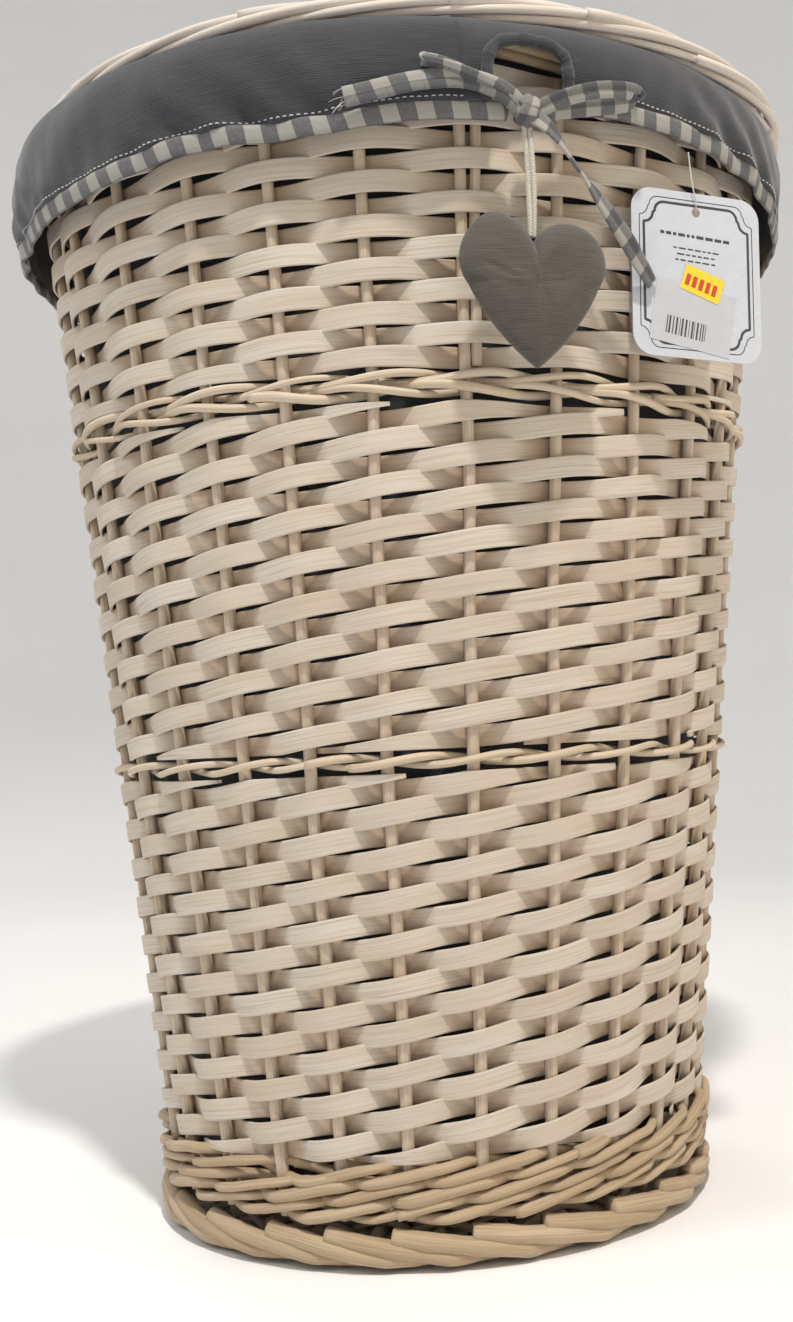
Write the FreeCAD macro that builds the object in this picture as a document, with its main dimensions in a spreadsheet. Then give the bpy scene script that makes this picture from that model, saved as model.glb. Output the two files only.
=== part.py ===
"""Round tapered willow laundry basket with a fabric liner, a bow, a hanging heart, a swing tag and a lid.

Frame: origin at the centre of the resting plane, +Z up, front towards -Y, millimetres.
A bearing is an angle round the basket in degrees, 0 at the front and growing towards +X.
Every rod stands or lies on a cone: stake_radius(height) is where the stakes' axes stand.
"""
import FreeCAD, Part
import math
import os
import Sketcher

SIZES = {
    # the willow wall
    "stake_count": 26,
    "first_stake": 8.0,
    "stake_diameter": 6.0,
    "stake_foot_radius": 141.0,
    "stake_rim_radius": 208.7,
    "stake_bottom": 23.5,
    "stake_top": 567.0,
    "rim_height": 585.0,
    "bye_stake_bottom": 425.0,
    "bye_stake_step": 1.85,
    "strip_thickness": 1.8,
    "strip_height": 9.6,
    "strip_pitch": 10.25,
    "lower_weave_start": 49.9,
    "middle_weave_start": 244.6,
    "upper_weave_start": 424.2,
    "pairing_thickness": 3.6,
    "pairing_height": 4.2,
    "middle_pairing_start": 235.0,
    "upper_pairing_start": 409.9,
    "wale_thickness": 4.6,
    "wale_height": 6.1,
    "wale_pitch": 6.5,
    "wale_start": 23.8,
    "weave_clearance": 0.95,
    # the rolled borders
    "foot_rod_diameter": 9.0,
    "foot_rod_radius": 149.0,
    "foot_rod_height": 16.2,
    "foot_rod_span": 31.0,
    "foot_rod_drop": 9.2,
    "foot_rod_drift": 12.2,
    "rim_rod_diameter": 5.6,
    "rim_rod_radius": 213.5,
    "rim_rod_height": 578.6,
    "rim_rod_span": 33.0,
    "rim_rod_drop": 3.9,
    "rim_rod_drift": 5.4,
    # the woven base
    "base_stick_diameter": 6.0,
    "base_stick_level": 11.0,
    "base_radius": 125.0,
    "base_spokes": 26,
    "base_rod_diameter": 4.0,
    "base_rod_pitch": 9.5,
    "crossing_reach": 30.0,
    "spoke_start": 35.0,
    # the liner
    "cloth": 2.0,
    "liner_gap": 9.4,
    "floor_level": 24.0,
    "cuff_radius": 226.0,
    "cuff_top": 585.6,
    "cuff_inner": 197.2,
    "cuff_turn": 213.5,
    "hem_bottom": 524.5,
    "hem_radius": 219.5,
    "binding_height": 9.0,
    "slot_bearing": 15.5,
    "slot_width": 40.0,
    "slot_crown": 573.0,
    "slot_edge": 4.0,
    # the bow
    "ribbon_width": 10.0,
    "ribbon_thickness": 1.2,
    "bow_radius": 227.2,
    "bow_height": 537.5,
    "knot_width": 15.0,
    "knot_depth": 12.0,
    "left_tail_end": -6.3,
    "left_loop_end": 3.2,
    "right_loop_end": 29.5,
    "right_tail_start": 18.2,
    "right_tail_end": 33.6,
    "right_tail_end_radius": 214.5,
    "right_tail_end_height": 466.0,
    # the heart on its cord
    "heart_bearing": 15.2,
    "heart_radius": 224.0,
    "heart_lobe": 18.6,
    "heart_lobe_spread": 16.4,
    "heart_drop": 50.0,
    "heart_cleft_depth": 3.0,
    "heart_thickness": 22.0,
    "heart_edge": 6.0,
    "heart_cleft": 476.0,
    "heart_cord_diameter": 4.4,
    "heart_cord_room": 1.2,
    "heart_cord_top": 529.3,
    "heart_cord_gap": 1.7,
    # the swing tag on its thread
    "tag_width": 71.0,
    "tag_height": 85.0,
    "tag_corner": 11.0,
    "tag_thickness": 0.6,
    "tag_hole": 4.6,
    "tag_hole_drop": 10.0,
    "tag_facing": 17.0,
    "tag_roll": -2.3,
    "tag_right": 144.3,
    "tag_front": 168.8,
    "tag_middle_height": 472.0,
    "label_width": 44.0,
    "label_height": 32.0,
    "sticker_width": 22.0,
    "sticker_height": 13.0,
    "label_thickness": 0.3,
    "thread_diameter": 0.9,
    # the lid
    "lid_shift": 8.0,
    "lid_set_back": 4.0,
    "lid_bottom": 586.2,
    "lid_radius": 222.0,
    "lid_rod_diameter": 6.2,
    "lid_stick_diameter": 6.0,
    "lid_weave_rod": 5.0,
    "lid_weave_pitch": 10.5,
    "lid_spokes": 24,
    "lid_crown": 13.0,
}

os.makedirs("parts", exist_ok=True)
doc = FreeCAD.newDocument("laundry_basket")
sheet = doc.addObject("Spreadsheet::Sheet", "Sizes")
for row, (alias, value) in enumerate(SIZES.items(), start=1):
    sheet.set(f"A{row}", alias)
    sheet.set(f"B{row}", str(value))
    sheet.setAlias(f"B{row}", alias)
doc.recompute()

nodes = []


def size(alias):
    """A driving dimension as a plain number, read from the sheet."""
    return float(getattr(sheet, alias))


def finish(obj, label, placement=None):
    """Give a sub-part its own name and, where it has one, its place, and list it for writing."""
    obj.Label = label
    if placement is not None:
        obj.Placement = placement
    nodes.append(obj)
    return obj


def turn(bearing):
    """The placement that carries +X round to a bearing."""
    return FreeCAD.Placement(FreeCAD.Vector(), FreeCAD.Rotation(FreeCAD.Vector(0, 0, 1), bearing - 90))


def at(bearing, radius, height):
    """The point at a bearing, a distance from the axis and a height."""
    angle = math.radians(bearing)
    return FreeCAD.Vector(radius * math.sin(angle), -radius * math.cos(angle), height)


def stake_radius(height):
    """How far a stake's axis is from the basket's axis at a height."""
    foot = size("stake_foot_radius")
    return foot + (size("stake_rim_radius") - foot) * height / size("rim_height")


def stake_step():
    """The angle between neighbouring stakes, in degrees."""
    return 360 / size("stake_count")


def primitive(kind, name, placement, **bindings):
    """A Part primitive whose properties follow the sheet."""
    obj = doc.addObject(kind, name)
    for prop, expression in bindings.items():
        obj.setExpression(prop, expression)
    obj.Placement = placement
    return obj


def group(label, members):
    """Identical pieces that share one node."""
    compound = doc.addObject("Part::Compound", label)
    compound.Links = members
    return finish(compound, label)


def drawn(body, name, role, corners):
    """A closed sketch on one of the body's own planes, its corners bound to expressions of the sheet."""
    sketch = body.newObject("Sketcher::SketchObject", name)
    plane = next(f for f in body.Origin.OriginFeatures if f.Role == role)
    sketch.AttachmentSupport = [(plane, "")]
    sketch.MapMode = "FlatFace"
    doc.recompute()
    points = [FreeCAD.Vector(*(float(sheet.evalExpression(text)) for text in pair), 0) for pair in corners]
    for start, end in zip(points, points[1:] + points[:1]):
        sketch.addGeometry(Part.LineSegment(start, end), False)
    for side in range(len(points)):
        sketch.addConstraint(Sketcher.Constraint("Coincident", side, 2, (side + 1) % len(points), 1))
    for side, (point, pair) in enumerate(zip(points, corners)):
        for kind, value, text in zip(("DistanceX", "DistanceY"), point, pair):
            index = sketch.addConstraint(Sketcher.Constraint(kind, -1, 1, side, 1, value))
            sketch.setExpression(f"Constraints[{index}]", text)
    return sketch


def turned(label, corners, sweep="360", bearing=90.0):
    """A body of revolution about the basket's axis, or a sector of one with its middle at a bearing."""
    body = doc.addObject("PartDesign::Body", label + "_body")
    sketch = drawn(body, label + "_section", "XZ_Plane", corners)
    revolution = body.newObject("PartDesign::Revolution", label + "_revolution")
    revolution.Profile = sketch
    revolution.ReferenceAxis = (sketch, ["V_Axis"])
    revolution.Midplane = True
    revolution.setExpression("Angle", sweep)
    doc.recompute()
    return finish(body, label, turn(bearing))


def serpentine(radius, swing, offset, phase, height):
    """A closed wire of tangent arcs that passes outside one stake and inside the next.

    The arcs meet on a circle of the given radius, halfway between stakes, and reach swing beyond it.
    offset moves the wire parallel to itself, outwards where it is positive.
    """
    count = int(size("stake_count"))
    half_step = math.pi / count
    half_chord = radius * math.sin(half_step)
    out_turn = 2 * math.atan((radius + swing - radius * math.cos(half_step)) / half_chord)
    in_turn = 2 * half_step - out_turn
    edges = []
    for stake in range(count):
        outside = (stake + phase) % 2 == 0
        half_turn = out_turn if outside else in_turn
        bend = half_chord / math.sin(half_turn)
        middle = 2 * half_step * stake
        centre = radius * math.cos(half_step) - bend * math.cos(half_turn)
        reach = bend + offset
        points = []
        for part in (-half_turn, 0, half_turn):
            along = centre + reach * math.cos(part)
            across = reach * math.sin(part)
            points.append(FreeCAD.Vector(
                along * math.cos(middle) - across * math.sin(middle),
                along * math.sin(middle) + across * math.cos(middle),
                height,
            ))
        edges.append(Part.Arc(*points).toShape())
    return Part.Wire(edges)


def course(bottom, height, thickness, phase):
    """One woven course: a strip that winds round the stakes, as a closed ring."""
    radius = stake_radius(bottom + height / 2)
    swing = size("stake_diameter") / 2 + thickness / 2 + size("weave_clearance")
    outer = serpentine(radius, swing, thickness / 2, phase, bottom)
    inner = serpentine(radius, swing, -thickness / 2, phase, bottom)
    ring = Part.makeFace([outer, inner], "Part::FaceMakerBullseye").extrude(FreeCAD.Vector(0, 0, height))
    ring.rotate(FreeCAD.Vector(), FreeCAD.Vector(0, 0, 1), size("first_stake") - 90)
    return ring


def woven(label, start, pitch, height, thickness, courses):
    """A node of woven courses, numbered from the bottom of their zone, alternating over and under."""
    rings = [course(start + n * pitch, height, thickness, n) for n in courses]
    feature = doc.addObject("Part::Feature", label)
    feature.Shape = Part.makeCompound(rings)
    return finish(feature, label)


def weave_zone(name, start, count, share):
    """The flat strips of one zone, share courses to a node."""
    for number, first in enumerate(range(0, count, share), start=1):
        courses = range(first, min(first + share, count))
        woven(f"{name}_weave_{number}", size(start), size("strip_pitch"), size("strip_height"),
              size("strip_thickness"), courses)


def rolled_border(label, prefix):
    """A border of long rods: each starts high on the outside and runs down and inwards under the next."""
    rods = []
    radius, count = size(prefix + "_radius"), int(size("stake_count"))
    drop, drift = -size(prefix + "_drop"), size(prefix + "_drift")
    for number in range(count):
        start = FreeCAD.Placement(FreeCAD.Vector(radius, 0, 0), FreeCAD.Rotation())
        lean = FreeCAD.Rotation(FreeCAD.Vector(0, 0, 1), drift)
        lean = lean * FreeCAD.Rotation(FreeCAD.Vector(1, 0, 0), drop)
        about_start = start * FreeCAD.Placement(FreeCAD.Vector(), lean) * start.inverse()
        lift = FreeCAD.Placement(FreeCAD.Vector(0, 0, size(prefix + "_height")), FreeCAD.Rotation())
        place = turn(size("first_stake") + number * 360 / count) * lift * about_start
        rods.append(primitive("Part::Torus", f"{label}_rod_{number + 1}", place,
                              Radius1=f"Sizes.{prefix}_radius", Radius2=f"Sizes.{prefix}_diameter / 2",
                              Angle3=f"Sizes.{prefix}_span"))
    return rods


def foot_border():
    """The rolled border that the basket stands on, its rods worn flat where they meet the floor."""
    rods = rolled_border("foot_border", "foot_rod")
    round_rods = doc.addObject("Part::Compound", "foot_rods")
    round_rods.Links = rods
    side = 2 * size("foot_rod_radius") + 40
    floor = primitive("Part::Box", "floor", FreeCAD.Placement(
        FreeCAD.Vector(-side / 2, -side / 2, -20), FreeCAD.Rotation()), Height="20")
    floor.Length = side
    floor.Width = side
    worn = doc.addObject("Part::Cut", "foot_border_worn")
    worn.Base = round_rods
    worn.Tool = floor
    doc.recompute()
    finish(worn, "foot_border")


def along_rod(start, end):
    """The placement that stands a cylinder from one point towards another."""
    return FreeCAD.Placement(start, FreeCAD.Rotation(FreeCAD.Vector(0, 0, 1), end - start))


def stakes():
    """The upright rods, leaning outwards with the wall, and the short one added beside one of them."""
    rods = []
    low, high = size("stake_bottom"), size("stake_top")
    for number in range(int(size("stake_count"))):
        bearing = size("first_stake") + number * stake_step()
        place = along_rod(at(bearing, stake_radius(low), low), at(bearing, stake_radius(high), high))
        rods.append(primitive("Part::Cylinder", f"stake_{number + 1}", place,
                              Radius="Sizes.stake_diameter / 2", Height="Sizes.stake_top - Sizes.stake_bottom"))
    group("stakes", rods)
    beside = size("first_stake") + size("bye_stake_step")
    low = size("bye_stake_bottom")
    place = along_rod(at(beside, stake_radius(low), low), at(beside, stake_radius(high), high))
    bye = primitive("Part::Cylinder", "bye_stake_rod", place, Radius="Sizes.stake_diameter / 2 - 0.2",
                    Height="Sizes.stake_top - Sizes.bye_stake_bottom")
    finish(bye, "bye_stake")


def crossed_and_fanned(name, centre, thick, spokes, reach, rise=0.0):
    """The sticks of a woven round: three crossed over three in the middle, and spokes fanning out round them.

    reach is where the spokes end; rise is how far the middle stands above the spokes' outer ends.
    """
    sticks = []
    gap, half = thick + 0.4, size("crossing_reach")
    for layer, heading in enumerate((FreeCAD.Vector(1, 0, 0), FreeCAD.Vector(0, 1, 0))):
        side = FreeCAD.Vector(heading.y, heading.x, 0)
        for offset in (-gap, 0, gap):
            middle = centre + side * offset + FreeCAD.Vector(0, 0, rise + layer * gap)
            number = len(sticks) + 1
            sticks.append(stick(f"{name}_crossed_{number}", middle - heading * half, middle + heading * half, thick))
    for number in range(spokes):
        bearing = (number + 0.5) * 360 / spokes
        inner = centre + at(bearing, size("spoke_start"), rise)
        sticks.append(stick(f"{name}_spoke_{number + 1}", inner, centre + at(bearing, reach, 0), thick))
    return sticks


def stick(name, start, end, thick):
    """A straight round rod between two points."""
    rod = primitive("Part::Cylinder", name, along_rod(start, end))
    rod.Radius = thick / 2
    rod.Height = (end - start).Length
    return rod


def base():
    """The woven base: sticks crossed and fanned out, with rings of rod under them."""
    level, thick, radius = size("base_stick_level"), size("base_stick_diameter"), size("base_radius")
    group("base_sticks", crossed_and_fanned("base", FreeCAD.Vector(0, 0, level), thick,
                                            int(size("base_spokes")), radius))
    rings = []
    pitch = size("base_rod_pitch")
    below = level - (thick + size("base_rod_diameter")) / 2 - 0.3
    for number in range(int(radius // pitch)):
        place = FreeCAD.Placement(FreeCAD.Vector(0, 0, below), FreeCAD.Rotation())
        ring = primitive("Part::Torus", f"base_ring_{number + 1}", place, Radius2="Sizes.base_rod_diameter / 2")
        ring.Radius1 = (number + 1) * pitch
        rings.append(ring)
    group("base_weave", rings)


def liner():
    """The cloth liner: a floor, a wall and the part that turns over the rim and hangs outside as a cuff."""
    wall = "Sizes.stake_foot_radius + (Sizes.stake_rim_radius - Sizes.stake_foot_radius)"
    wall += " * {} / Sizes.rim_height - Sizes.liner_gap"
    low, high = "Sizes.floor_level + Sizes.cloth", "Sizes.cuff_top - 2.4"
    low_radius, high_radius = wall.format(f"({low})"), wall.format(f"({high})")
    turned("liner_floor", [("0", "Sizes.floor_level"), (low_radius, "Sizes.floor_level"),
                           (low_radius, low), ("0", low)])
    turned("liner_wall", [(low_radius, low), (high_radius, high), (high_radius + " - Sizes.cloth", high),
                          (low_radius + " - Sizes.cloth", low)])
    cuff = turned("liner_cuff", [
        ("Sizes.cuff_inner", "Sizes.cuff_top - 2.2"),
        ("Sizes.cuff_inner + 2.4", "Sizes.cuff_top - 0.4"),
        ("Sizes.cuff_turn", "Sizes.cuff_top"),
        ("Sizes.cuff_radius - 4", "Sizes.cuff_top - 6"),
        ("Sizes.cuff_radius", "Sizes.cuff_top - 20"),
        ("Sizes.cuff_radius", "Sizes.cuff_top - 34"),
        ("Sizes.hem_radius + 2", "Sizes.hem_bottom + Sizes.binding_height + 0.4"),
        ("Sizes.hem_radius", "Sizes.hem_bottom + Sizes.binding_height + 0.4"),
        ("Sizes.cuff_radius - 2.1", "Sizes.cuff_top - 34"),
        ("Sizes.cuff_radius - 2.3", "Sizes.cuff_top - 20.4"),
        ("Sizes.cuff_radius - 6", "Sizes.cuff_top - 7.4"),
        ("Sizes.cuff_turn - 0.5", "Sizes.cuff_top - 2"),
        ("Sizes.cuff_inner + 3.8", "Sizes.cuff_top - 2.2"),
    ], bearing=size("slot_bearing"))
    gap = 2 * math.degrees(math.asin(size("slot_width") / 2 / size("hem_radius")))
    turned("hem_binding", [
        ("Sizes.hem_radius - 0.9", "Sizes.hem_bottom"),
        ("Sizes.hem_radius + 2.6", "Sizes.hem_bottom"),
        ("Sizes.hem_radius + 2.6", "Sizes.hem_bottom + Sizes.binding_height"),
        ("Sizes.hem_radius - 0.9", "Sizes.hem_bottom + Sizes.binding_height"),
    ], sweep=str(360 - gap), bearing=size("slot_bearing") + 180)
    return cuff


def arch(label, half_width, crown):
    """An arch-ended bar along +X, as wide as the slot in the cuff and open downwards."""
    body = doc.addObject("PartDesign::Body", label + "_body")
    low = "Sizes.hem_bottom - 5"
    sketch = drawn(body, label + "_outline", "YZ_Plane", [
        (f"-({half_width})", low), (half_width, low), (half_width, f"{crown} - ({half_width}) * 0.55"),
        (f"({half_width}) * 0.6", crown), (f"-({half_width}) * 0.6", crown),
        (f"-({half_width})", f"{crown} - ({half_width}) * 0.55")])
    pad = body.newObject("PartDesign::Pad", label + "_pad")
    pad.Profile = sketch
    pad.setExpression("Length", "Sizes.cuff_radius + 20")
    doc.recompute()
    return body


def cut_slot(cuff):
    """Open the arch in the front of the cuff, and bind its edge with a rolled strip of the same cloth."""
    slot = arch("slot", "Sizes.slot_width / 2", "Sizes.slot_crown")
    edge = arch("slot_rim", "Sizes.slot_width / 2 - Sizes.slot_edge", "Sizes.slot_crown - Sizes.slot_edge")
    for tool in (slot, edge):
        tool.Placement = turn(size("slot_bearing"))
    doc.recompute()
    inside = Part.makeCylinder(size("hem_radius") - 6, size("rim_height"))
    opened = cuff.Shape.cut(slot.Shape.cut(inside))
    trim = cuff.Shape.common(slot.Shape.cut(inside)).cut(edge.Shape)
    nodes.remove(cuff)
    cuff.Label = "cuff_before_slot"
    for label, shape in (("liner_cuff", opened), ("slot_edge", trim)):
        feature = doc.addObject("Part::Feature", label + "_cut")
        feature.Shape = Part.makeCompound(shape.Solids)
        finish(feature, label)


def ribbon(label, low, high, start, end, depth):
    """A length of ribbon that lies round the cuff between two bearings."""
    inner, outer = "Sizes.bow_radius", f"Sizes.bow_radius + {depth}"
    turned(label, [(inner, low), (outer, low), (outer, high), (inner, high)],
           sweep=str(end - start), bearing=(start + end) / 2)


def bow():
    """The gingham bow: a knot in the slot's mouth, a loop each side, one tail along the cuff, one hanging."""
    bearing = size("heart_bearing")
    knot = primitive("Part::Ellipsoid", "bow_knot_solid", FreeCAD.Placement(
        at(bearing, size("bow_radius") - 2, size("bow_height")), turn(bearing).Rotation),
        Radius1="Sizes.knot_width / 2", Radius2="Sizes.knot_depth / 2", Radius3="Sizes.knot_width / 2")
    finish(knot, "bow_knot")
    low = "Sizes.bow_height + 4"
    ribbon("ribbon_tail_left", low, low + " + Sizes.ribbon_width", size("left_tail_end"), bearing - 2.4,
           "Sizes.ribbon_thickness")
    loop_low = low + " + Sizes.ribbon_width + 0.5"
    ribbon("bow_loop_left", loop_low, loop_low + " + Sizes.ribbon_width * 0.7", size("left_loop_end"),
           bearing - 2.2, "5")
    ribbon("bow_loop_right", "Sizes.bow_height + 7", "Sizes.bow_height + 7 + Sizes.ribbon_width",
           bearing + 2.4, size("right_loop_end"), "6")
    start = at(size("right_tail_start"), size("bow_radius") + 0.5, size("bow_height") - 8)
    end = at(size("right_tail_end"), size("right_tail_end_radius"), size("right_tail_end_height"))
    run = end - start
    outwards = at((size("right_tail_start") + size("right_tail_end")) / 2, 1, 0)
    place = FreeCAD.Placement(start, FreeCAD.Rotation(
        run.cross(outwards), outwards, run, "ZXY"))
    tail = primitive("Part::Box", "ribbon_tail_right_solid", place, Length="Sizes.ribbon_width",
                     Width="Sizes.ribbon_thickness")
    tail.Height = run.Length
    finish(tail, "ribbon_tail_right")


def facing(bearing, roll, point):
    """A placement whose X runs to the right, Y up and Z outwards, for what hangs flat, turned by roll."""
    upright = FreeCAD.Rotation(at(bearing + 90, 1, 0), FreeCAD.Vector(0, 0, 1), at(bearing, 1, 0), "ZXY")
    return FreeCAD.Placement(point, upright * FreeCAD.Rotation(FreeCAD.Vector(0, 0, 1), roll))


def heart():
    """The stuffed heart: two round lobes, straight sides to the tip and a cleft with room for its cord."""
    lobe, spread, drop = size("heart_lobe"), size("heart_lobe_spread"), size("heart_drop")
    slot = size("heart_cord_diameter") / 2 + size("heart_cord_room")
    reach = math.hypot(spread, drop)
    lean = math.atan2(spread, drop) + math.asin(lobe / reach)
    length = math.sqrt(reach ** 2 - lobe ** 2)
    touch = FreeCAD.Vector(length * math.sin(lean), length * math.cos(lean) - drop, 0)
    rise = math.sqrt(lobe ** 2 - (spread - slot) ** 2)
    top = FreeCAD.Vector(spread + lobe * 0.2, lobe * math.sqrt(1 - 0.2 ** 2), 0)
    shoulder = FreeCAD.Vector(slot, rise, 0)
    floor = FreeCAD.Vector(slot, rise - size("heart_cleft_depth"), 0)
    tip = FreeCAD.Vector(0, -drop, 0)
    mirrored = [FreeCAD.Vector(-p.x, p.y, 0) for p in (touch, top, shoulder, floor)]
    outline = Part.Wire([
        Part.makeLine(tip, touch),
        Part.Arc(touch, top, shoulder).toShape(),
        Part.makeLine(shoulder, floor),
        Part.makeLine(floor, mirrored[3]),
        Part.makeLine(mirrored[3], mirrored[2]),
        Part.Arc(mirrored[2], mirrored[1], mirrored[0]).toShape(),
        Part.makeLine(mirrored[0], tip),
    ])
    thickness, edge = size("heart_thickness"), size("heart_edge")
    layers = []
    for inset, depth in ((0.0, thickness - 2 * edge), (edge * 0.45, thickness - edge), (edge, thickness)):
        face = Part.Face(outline if inset == 0 else outline.makeOffset2D(-inset))
        layer = face.extrude(FreeCAD.Vector(0, 0, depth))
        layer.translate(FreeCAD.Vector(0, 0, -depth / 2))
        layers.append(layer)
    solid = layers[0].fuse(layers[1:]).removeSplitter().Solids[0]
    feature = doc.addObject("Part::Feature", "heart_solid")
    feature.Shape = solid
    centre = at(size("heart_bearing"), size("heart_radius"), size("heart_cleft") - floor.y)
    finish(feature, "heart", facing(size("heart_bearing") - 3, 0, centre))


def tube(label, points, diameter):
    """A cord along straight runs joined by tangent arcs, each arc as large as its runs allow."""
    edges, here = [], points[0]
    for before, corner, after in zip(points, points[1:], points[2:]):
        back, ahead = before - corner, after - corner
        run = 0.45 * min(back.Length, ahead.Length)
        into, out = corner + back.normalize() * run, corner + ahead.normalize() * run
        half = back.getAngle(ahead) / 2
        radius = run * math.tan(half)
        print(f"{label}: arc radius {radius:.1f} mm")
        centre = corner + (back + ahead).normalize() * (run / math.cos(half))
        middle = centre + (corner - centre).normalize() * radius
        edges += [Part.makeLine(here, into), Part.Arc(into, middle, out).toShape()]
        here = out
    edges.append(Part.makeLine(here, points[-1]))
    path = Part.Wire(edges)
    heading = edges[0].tangentAt(edges[0].FirstParameter)
    section = Part.Wire(Part.makeCircle(diameter / 2, points[0], heading))
    solid = path.makePipeShell([section], True, False)
    length = sum(edge.Length for edge in edges)
    full = math.pi * diameter ** 2 / 4 * length
    print(f"{label}: length {length:.1f} mm, volume over section times length {solid.Volume / full:.4f}")
    feature = doc.addObject("Part::Feature", label)
    feature.Shape = solid
    finish(feature, label)


def heart_cord():
    """The cord that the heart hangs by, from under the knot down to the cleft."""
    bearing, radius = size("heart_bearing"), size("heart_radius")
    top, bottom = size("heart_cord_top"), size("heart_cleft") + size("heart_cord_gap")
    points = [at(bearing, radius, top), at(bearing + 0.35, radius + 0.8, (top + bottom) / 2),
              at(bearing, radius, bottom)]
    tube("heart_cord", points, size("heart_cord_diameter"))


def tag_frame():
    """Where the tag's middle hangs, and which way it faces."""
    middle = FreeCAD.Vector(size("tag_right"), -size("tag_front"), size("tag_middle_height"))
    return facing(size("tag_facing"), size("tag_roll"), middle)


def tag():
    """The card tag with rounded corners and a hole, a printed label and a small sticker on its face."""
    body = doc.addObject("PartDesign::Body", "swing_tag_body")
    half_width, half_height = "Sizes.tag_width / 2", "Sizes.tag_height / 2"
    sketch = drawn(body, "tag_outline", "XY_Plane", [
        (f"-{half_width}", f"-{half_height}"), (half_width, f"-{half_height}"),
        (half_width, half_height), (f"-{half_width}", half_height)])
    pad = body.newObject("PartDesign::Pad", "tag_card")
    pad.Profile = sketch
    pad.Midplane = True
    pad.setExpression("Length", "Sizes.tag_thickness")
    doc.recompute()
    uprights = [f"Edge{n}" for n, e in enumerate(pad.Shape.Edges, 1) if e.BoundBox.ZLength > 0.5]
    corners = body.newObject("PartDesign::Fillet", "tag_corners")
    corners.Base = (pad, uprights)
    corners.setExpression("Radius", "Sizes.tag_corner")
    doc.recompute()
    hole_sketch = body.newObject("Sketcher::SketchObject", "tag_hole_outline")
    plane = next(f for f in body.Origin.OriginFeatures if f.Role == "XY_Plane")
    hole_sketch.AttachmentSupport = [(plane, "")]
    hole_sketch.MapMode = "FlatFace"
    drop = size("tag_height") / 2 - size("tag_hole_drop")
    hole_sketch.addGeometry(Part.Circle(FreeCAD.Vector(0, drop, 0), FreeCAD.Vector(0, 0, 1), 2.0), False)
    hole_sketch.addConstraint(Sketcher.Constraint("PointOnObject", 0, 3, -2))
    index = hole_sketch.addConstraint(Sketcher.Constraint("DistanceY", -1, 1, 0, 3, drop))
    hole_sketch.setExpression(f"Constraints[{index}]", "Sizes.tag_height / 2 - Sizes.tag_hole_drop")
    index = hole_sketch.addConstraint(Sketcher.Constraint("Diameter", 0, 4.0))
    hole_sketch.setExpression(f"Constraints[{index}]", "Sizes.tag_hole")
    pocket = body.newObject("PartDesign::Pocket", "tag_hole_cut")
    pocket.Profile = hole_sketch
    pocket.Type = "ThroughAll"
    pocket.Midplane = True
    doc.recompute()
    assert pocket.Shape.Volume < corners.Shape.Volume - 1, "the tag's hole cuts nothing"
    finish(body, "swing_tag", tag_frame())
    face = size("tag_thickness") / 2
    stuck = (("tag_label", "label", (-27.0, -34.0), -9.0, face),
             ("tag_sticker", "sticker", (-10.0, -7.0), -18.0, face + size("label_thickness")))
    for label, prefix, corner, roll, level in stuck:
        place = tag_frame() * FreeCAD.Placement(FreeCAD.Vector(*corner, level),
                                                FreeCAD.Rotation(FreeCAD.Vector(0, 0, 1), roll))
        piece = primitive("Part::Box", label + "_solid", place, Length=f"Sizes.{prefix}_width",
                          Width=f"Sizes.{prefix}_height", Height="Sizes.label_thickness")
        finish(piece, label)


def tag_thread():
    """The thread that the tag hangs by, from behind the hem, down in front of the card and into its hole."""
    hole = FreeCAD.Vector(0, size("tag_height") / 2 - size("tag_hole_drop"), 0)
    frame = tag_frame()
    points = [frame.multVec(hole + FreeCAD.Vector(*step)) for step in (
        (-4.2, 30.4, 1.7), (-3.9, 21.4, 2.5), (-2.9, 11.6, 3.1), (-0.9, 4.6, 2.9), (0.0, 0.0, 0.2))]
    tube("tag_thread", points, size("thread_diameter"))


def lid():
    """The lift-off lid: sticks crossed and fanned out, rings of rod lying on them and a rolled border."""
    centre = FreeCAD.Vector(size("lid_shift"), size("lid_set_back"), size("lid_bottom"))
    rod, stick_thick, radius = size("lid_rod_diameter"), size("lid_stick_diameter"), size("lid_radius")
    border = []
    for number, (inset, level) in enumerate(((0, 0), (0.35, 1), (1.15, 0.12), (1.4, 1.05))):
        place = FreeCAD.Placement(centre + FreeCAD.Vector(0, 0, rod / 2 + level * (rod + 0.1)),
                                  FreeCAD.Rotation())
        ring = primitive("Part::Torus", f"lid_border_rod_{number + 1}", place,
                         Radius2="Sizes.lid_rod_diameter / 2")
        ring.Radius1 = radius - rod / 2 - inset * rod
        border.append(ring)
    group("lid_border", border)
    inner, crown = radius - 3.1 * rod, size("lid_crown")
    hub = centre + FreeCAD.Vector(0, 0, stick_thick / 2 + 0.2)
    group("lid_sticks", crossed_and_fanned("lid", hub, stick_thick, int(size("lid_spokes")),
                                           inner - stick_thick, crown))
    rings = []
    pitch, thick = size("lid_weave_pitch"), size("lid_weave_rod")
    first = math.ceil((size("spoke_start") + thick) / pitch)
    for number in range(first, int(inner // pitch) + 1):
        ring_radius = number * pitch
        dome = crown * (1 - (ring_radius / inner) ** 2)
        level = stick_thick + 0.6 + thick / 2 + dome
        place = FreeCAD.Placement(centre + FreeCAD.Vector(0, 0, level), FreeCAD.Rotation())
        ring = primitive("Part::Torus", f"lid_ring_{number}", place, Radius2="Sizes.lid_weave_rod / 2")
        ring.Radius1 = ring_radius
        rings.append(ring)
    group("lid_weave", rings)


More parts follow.
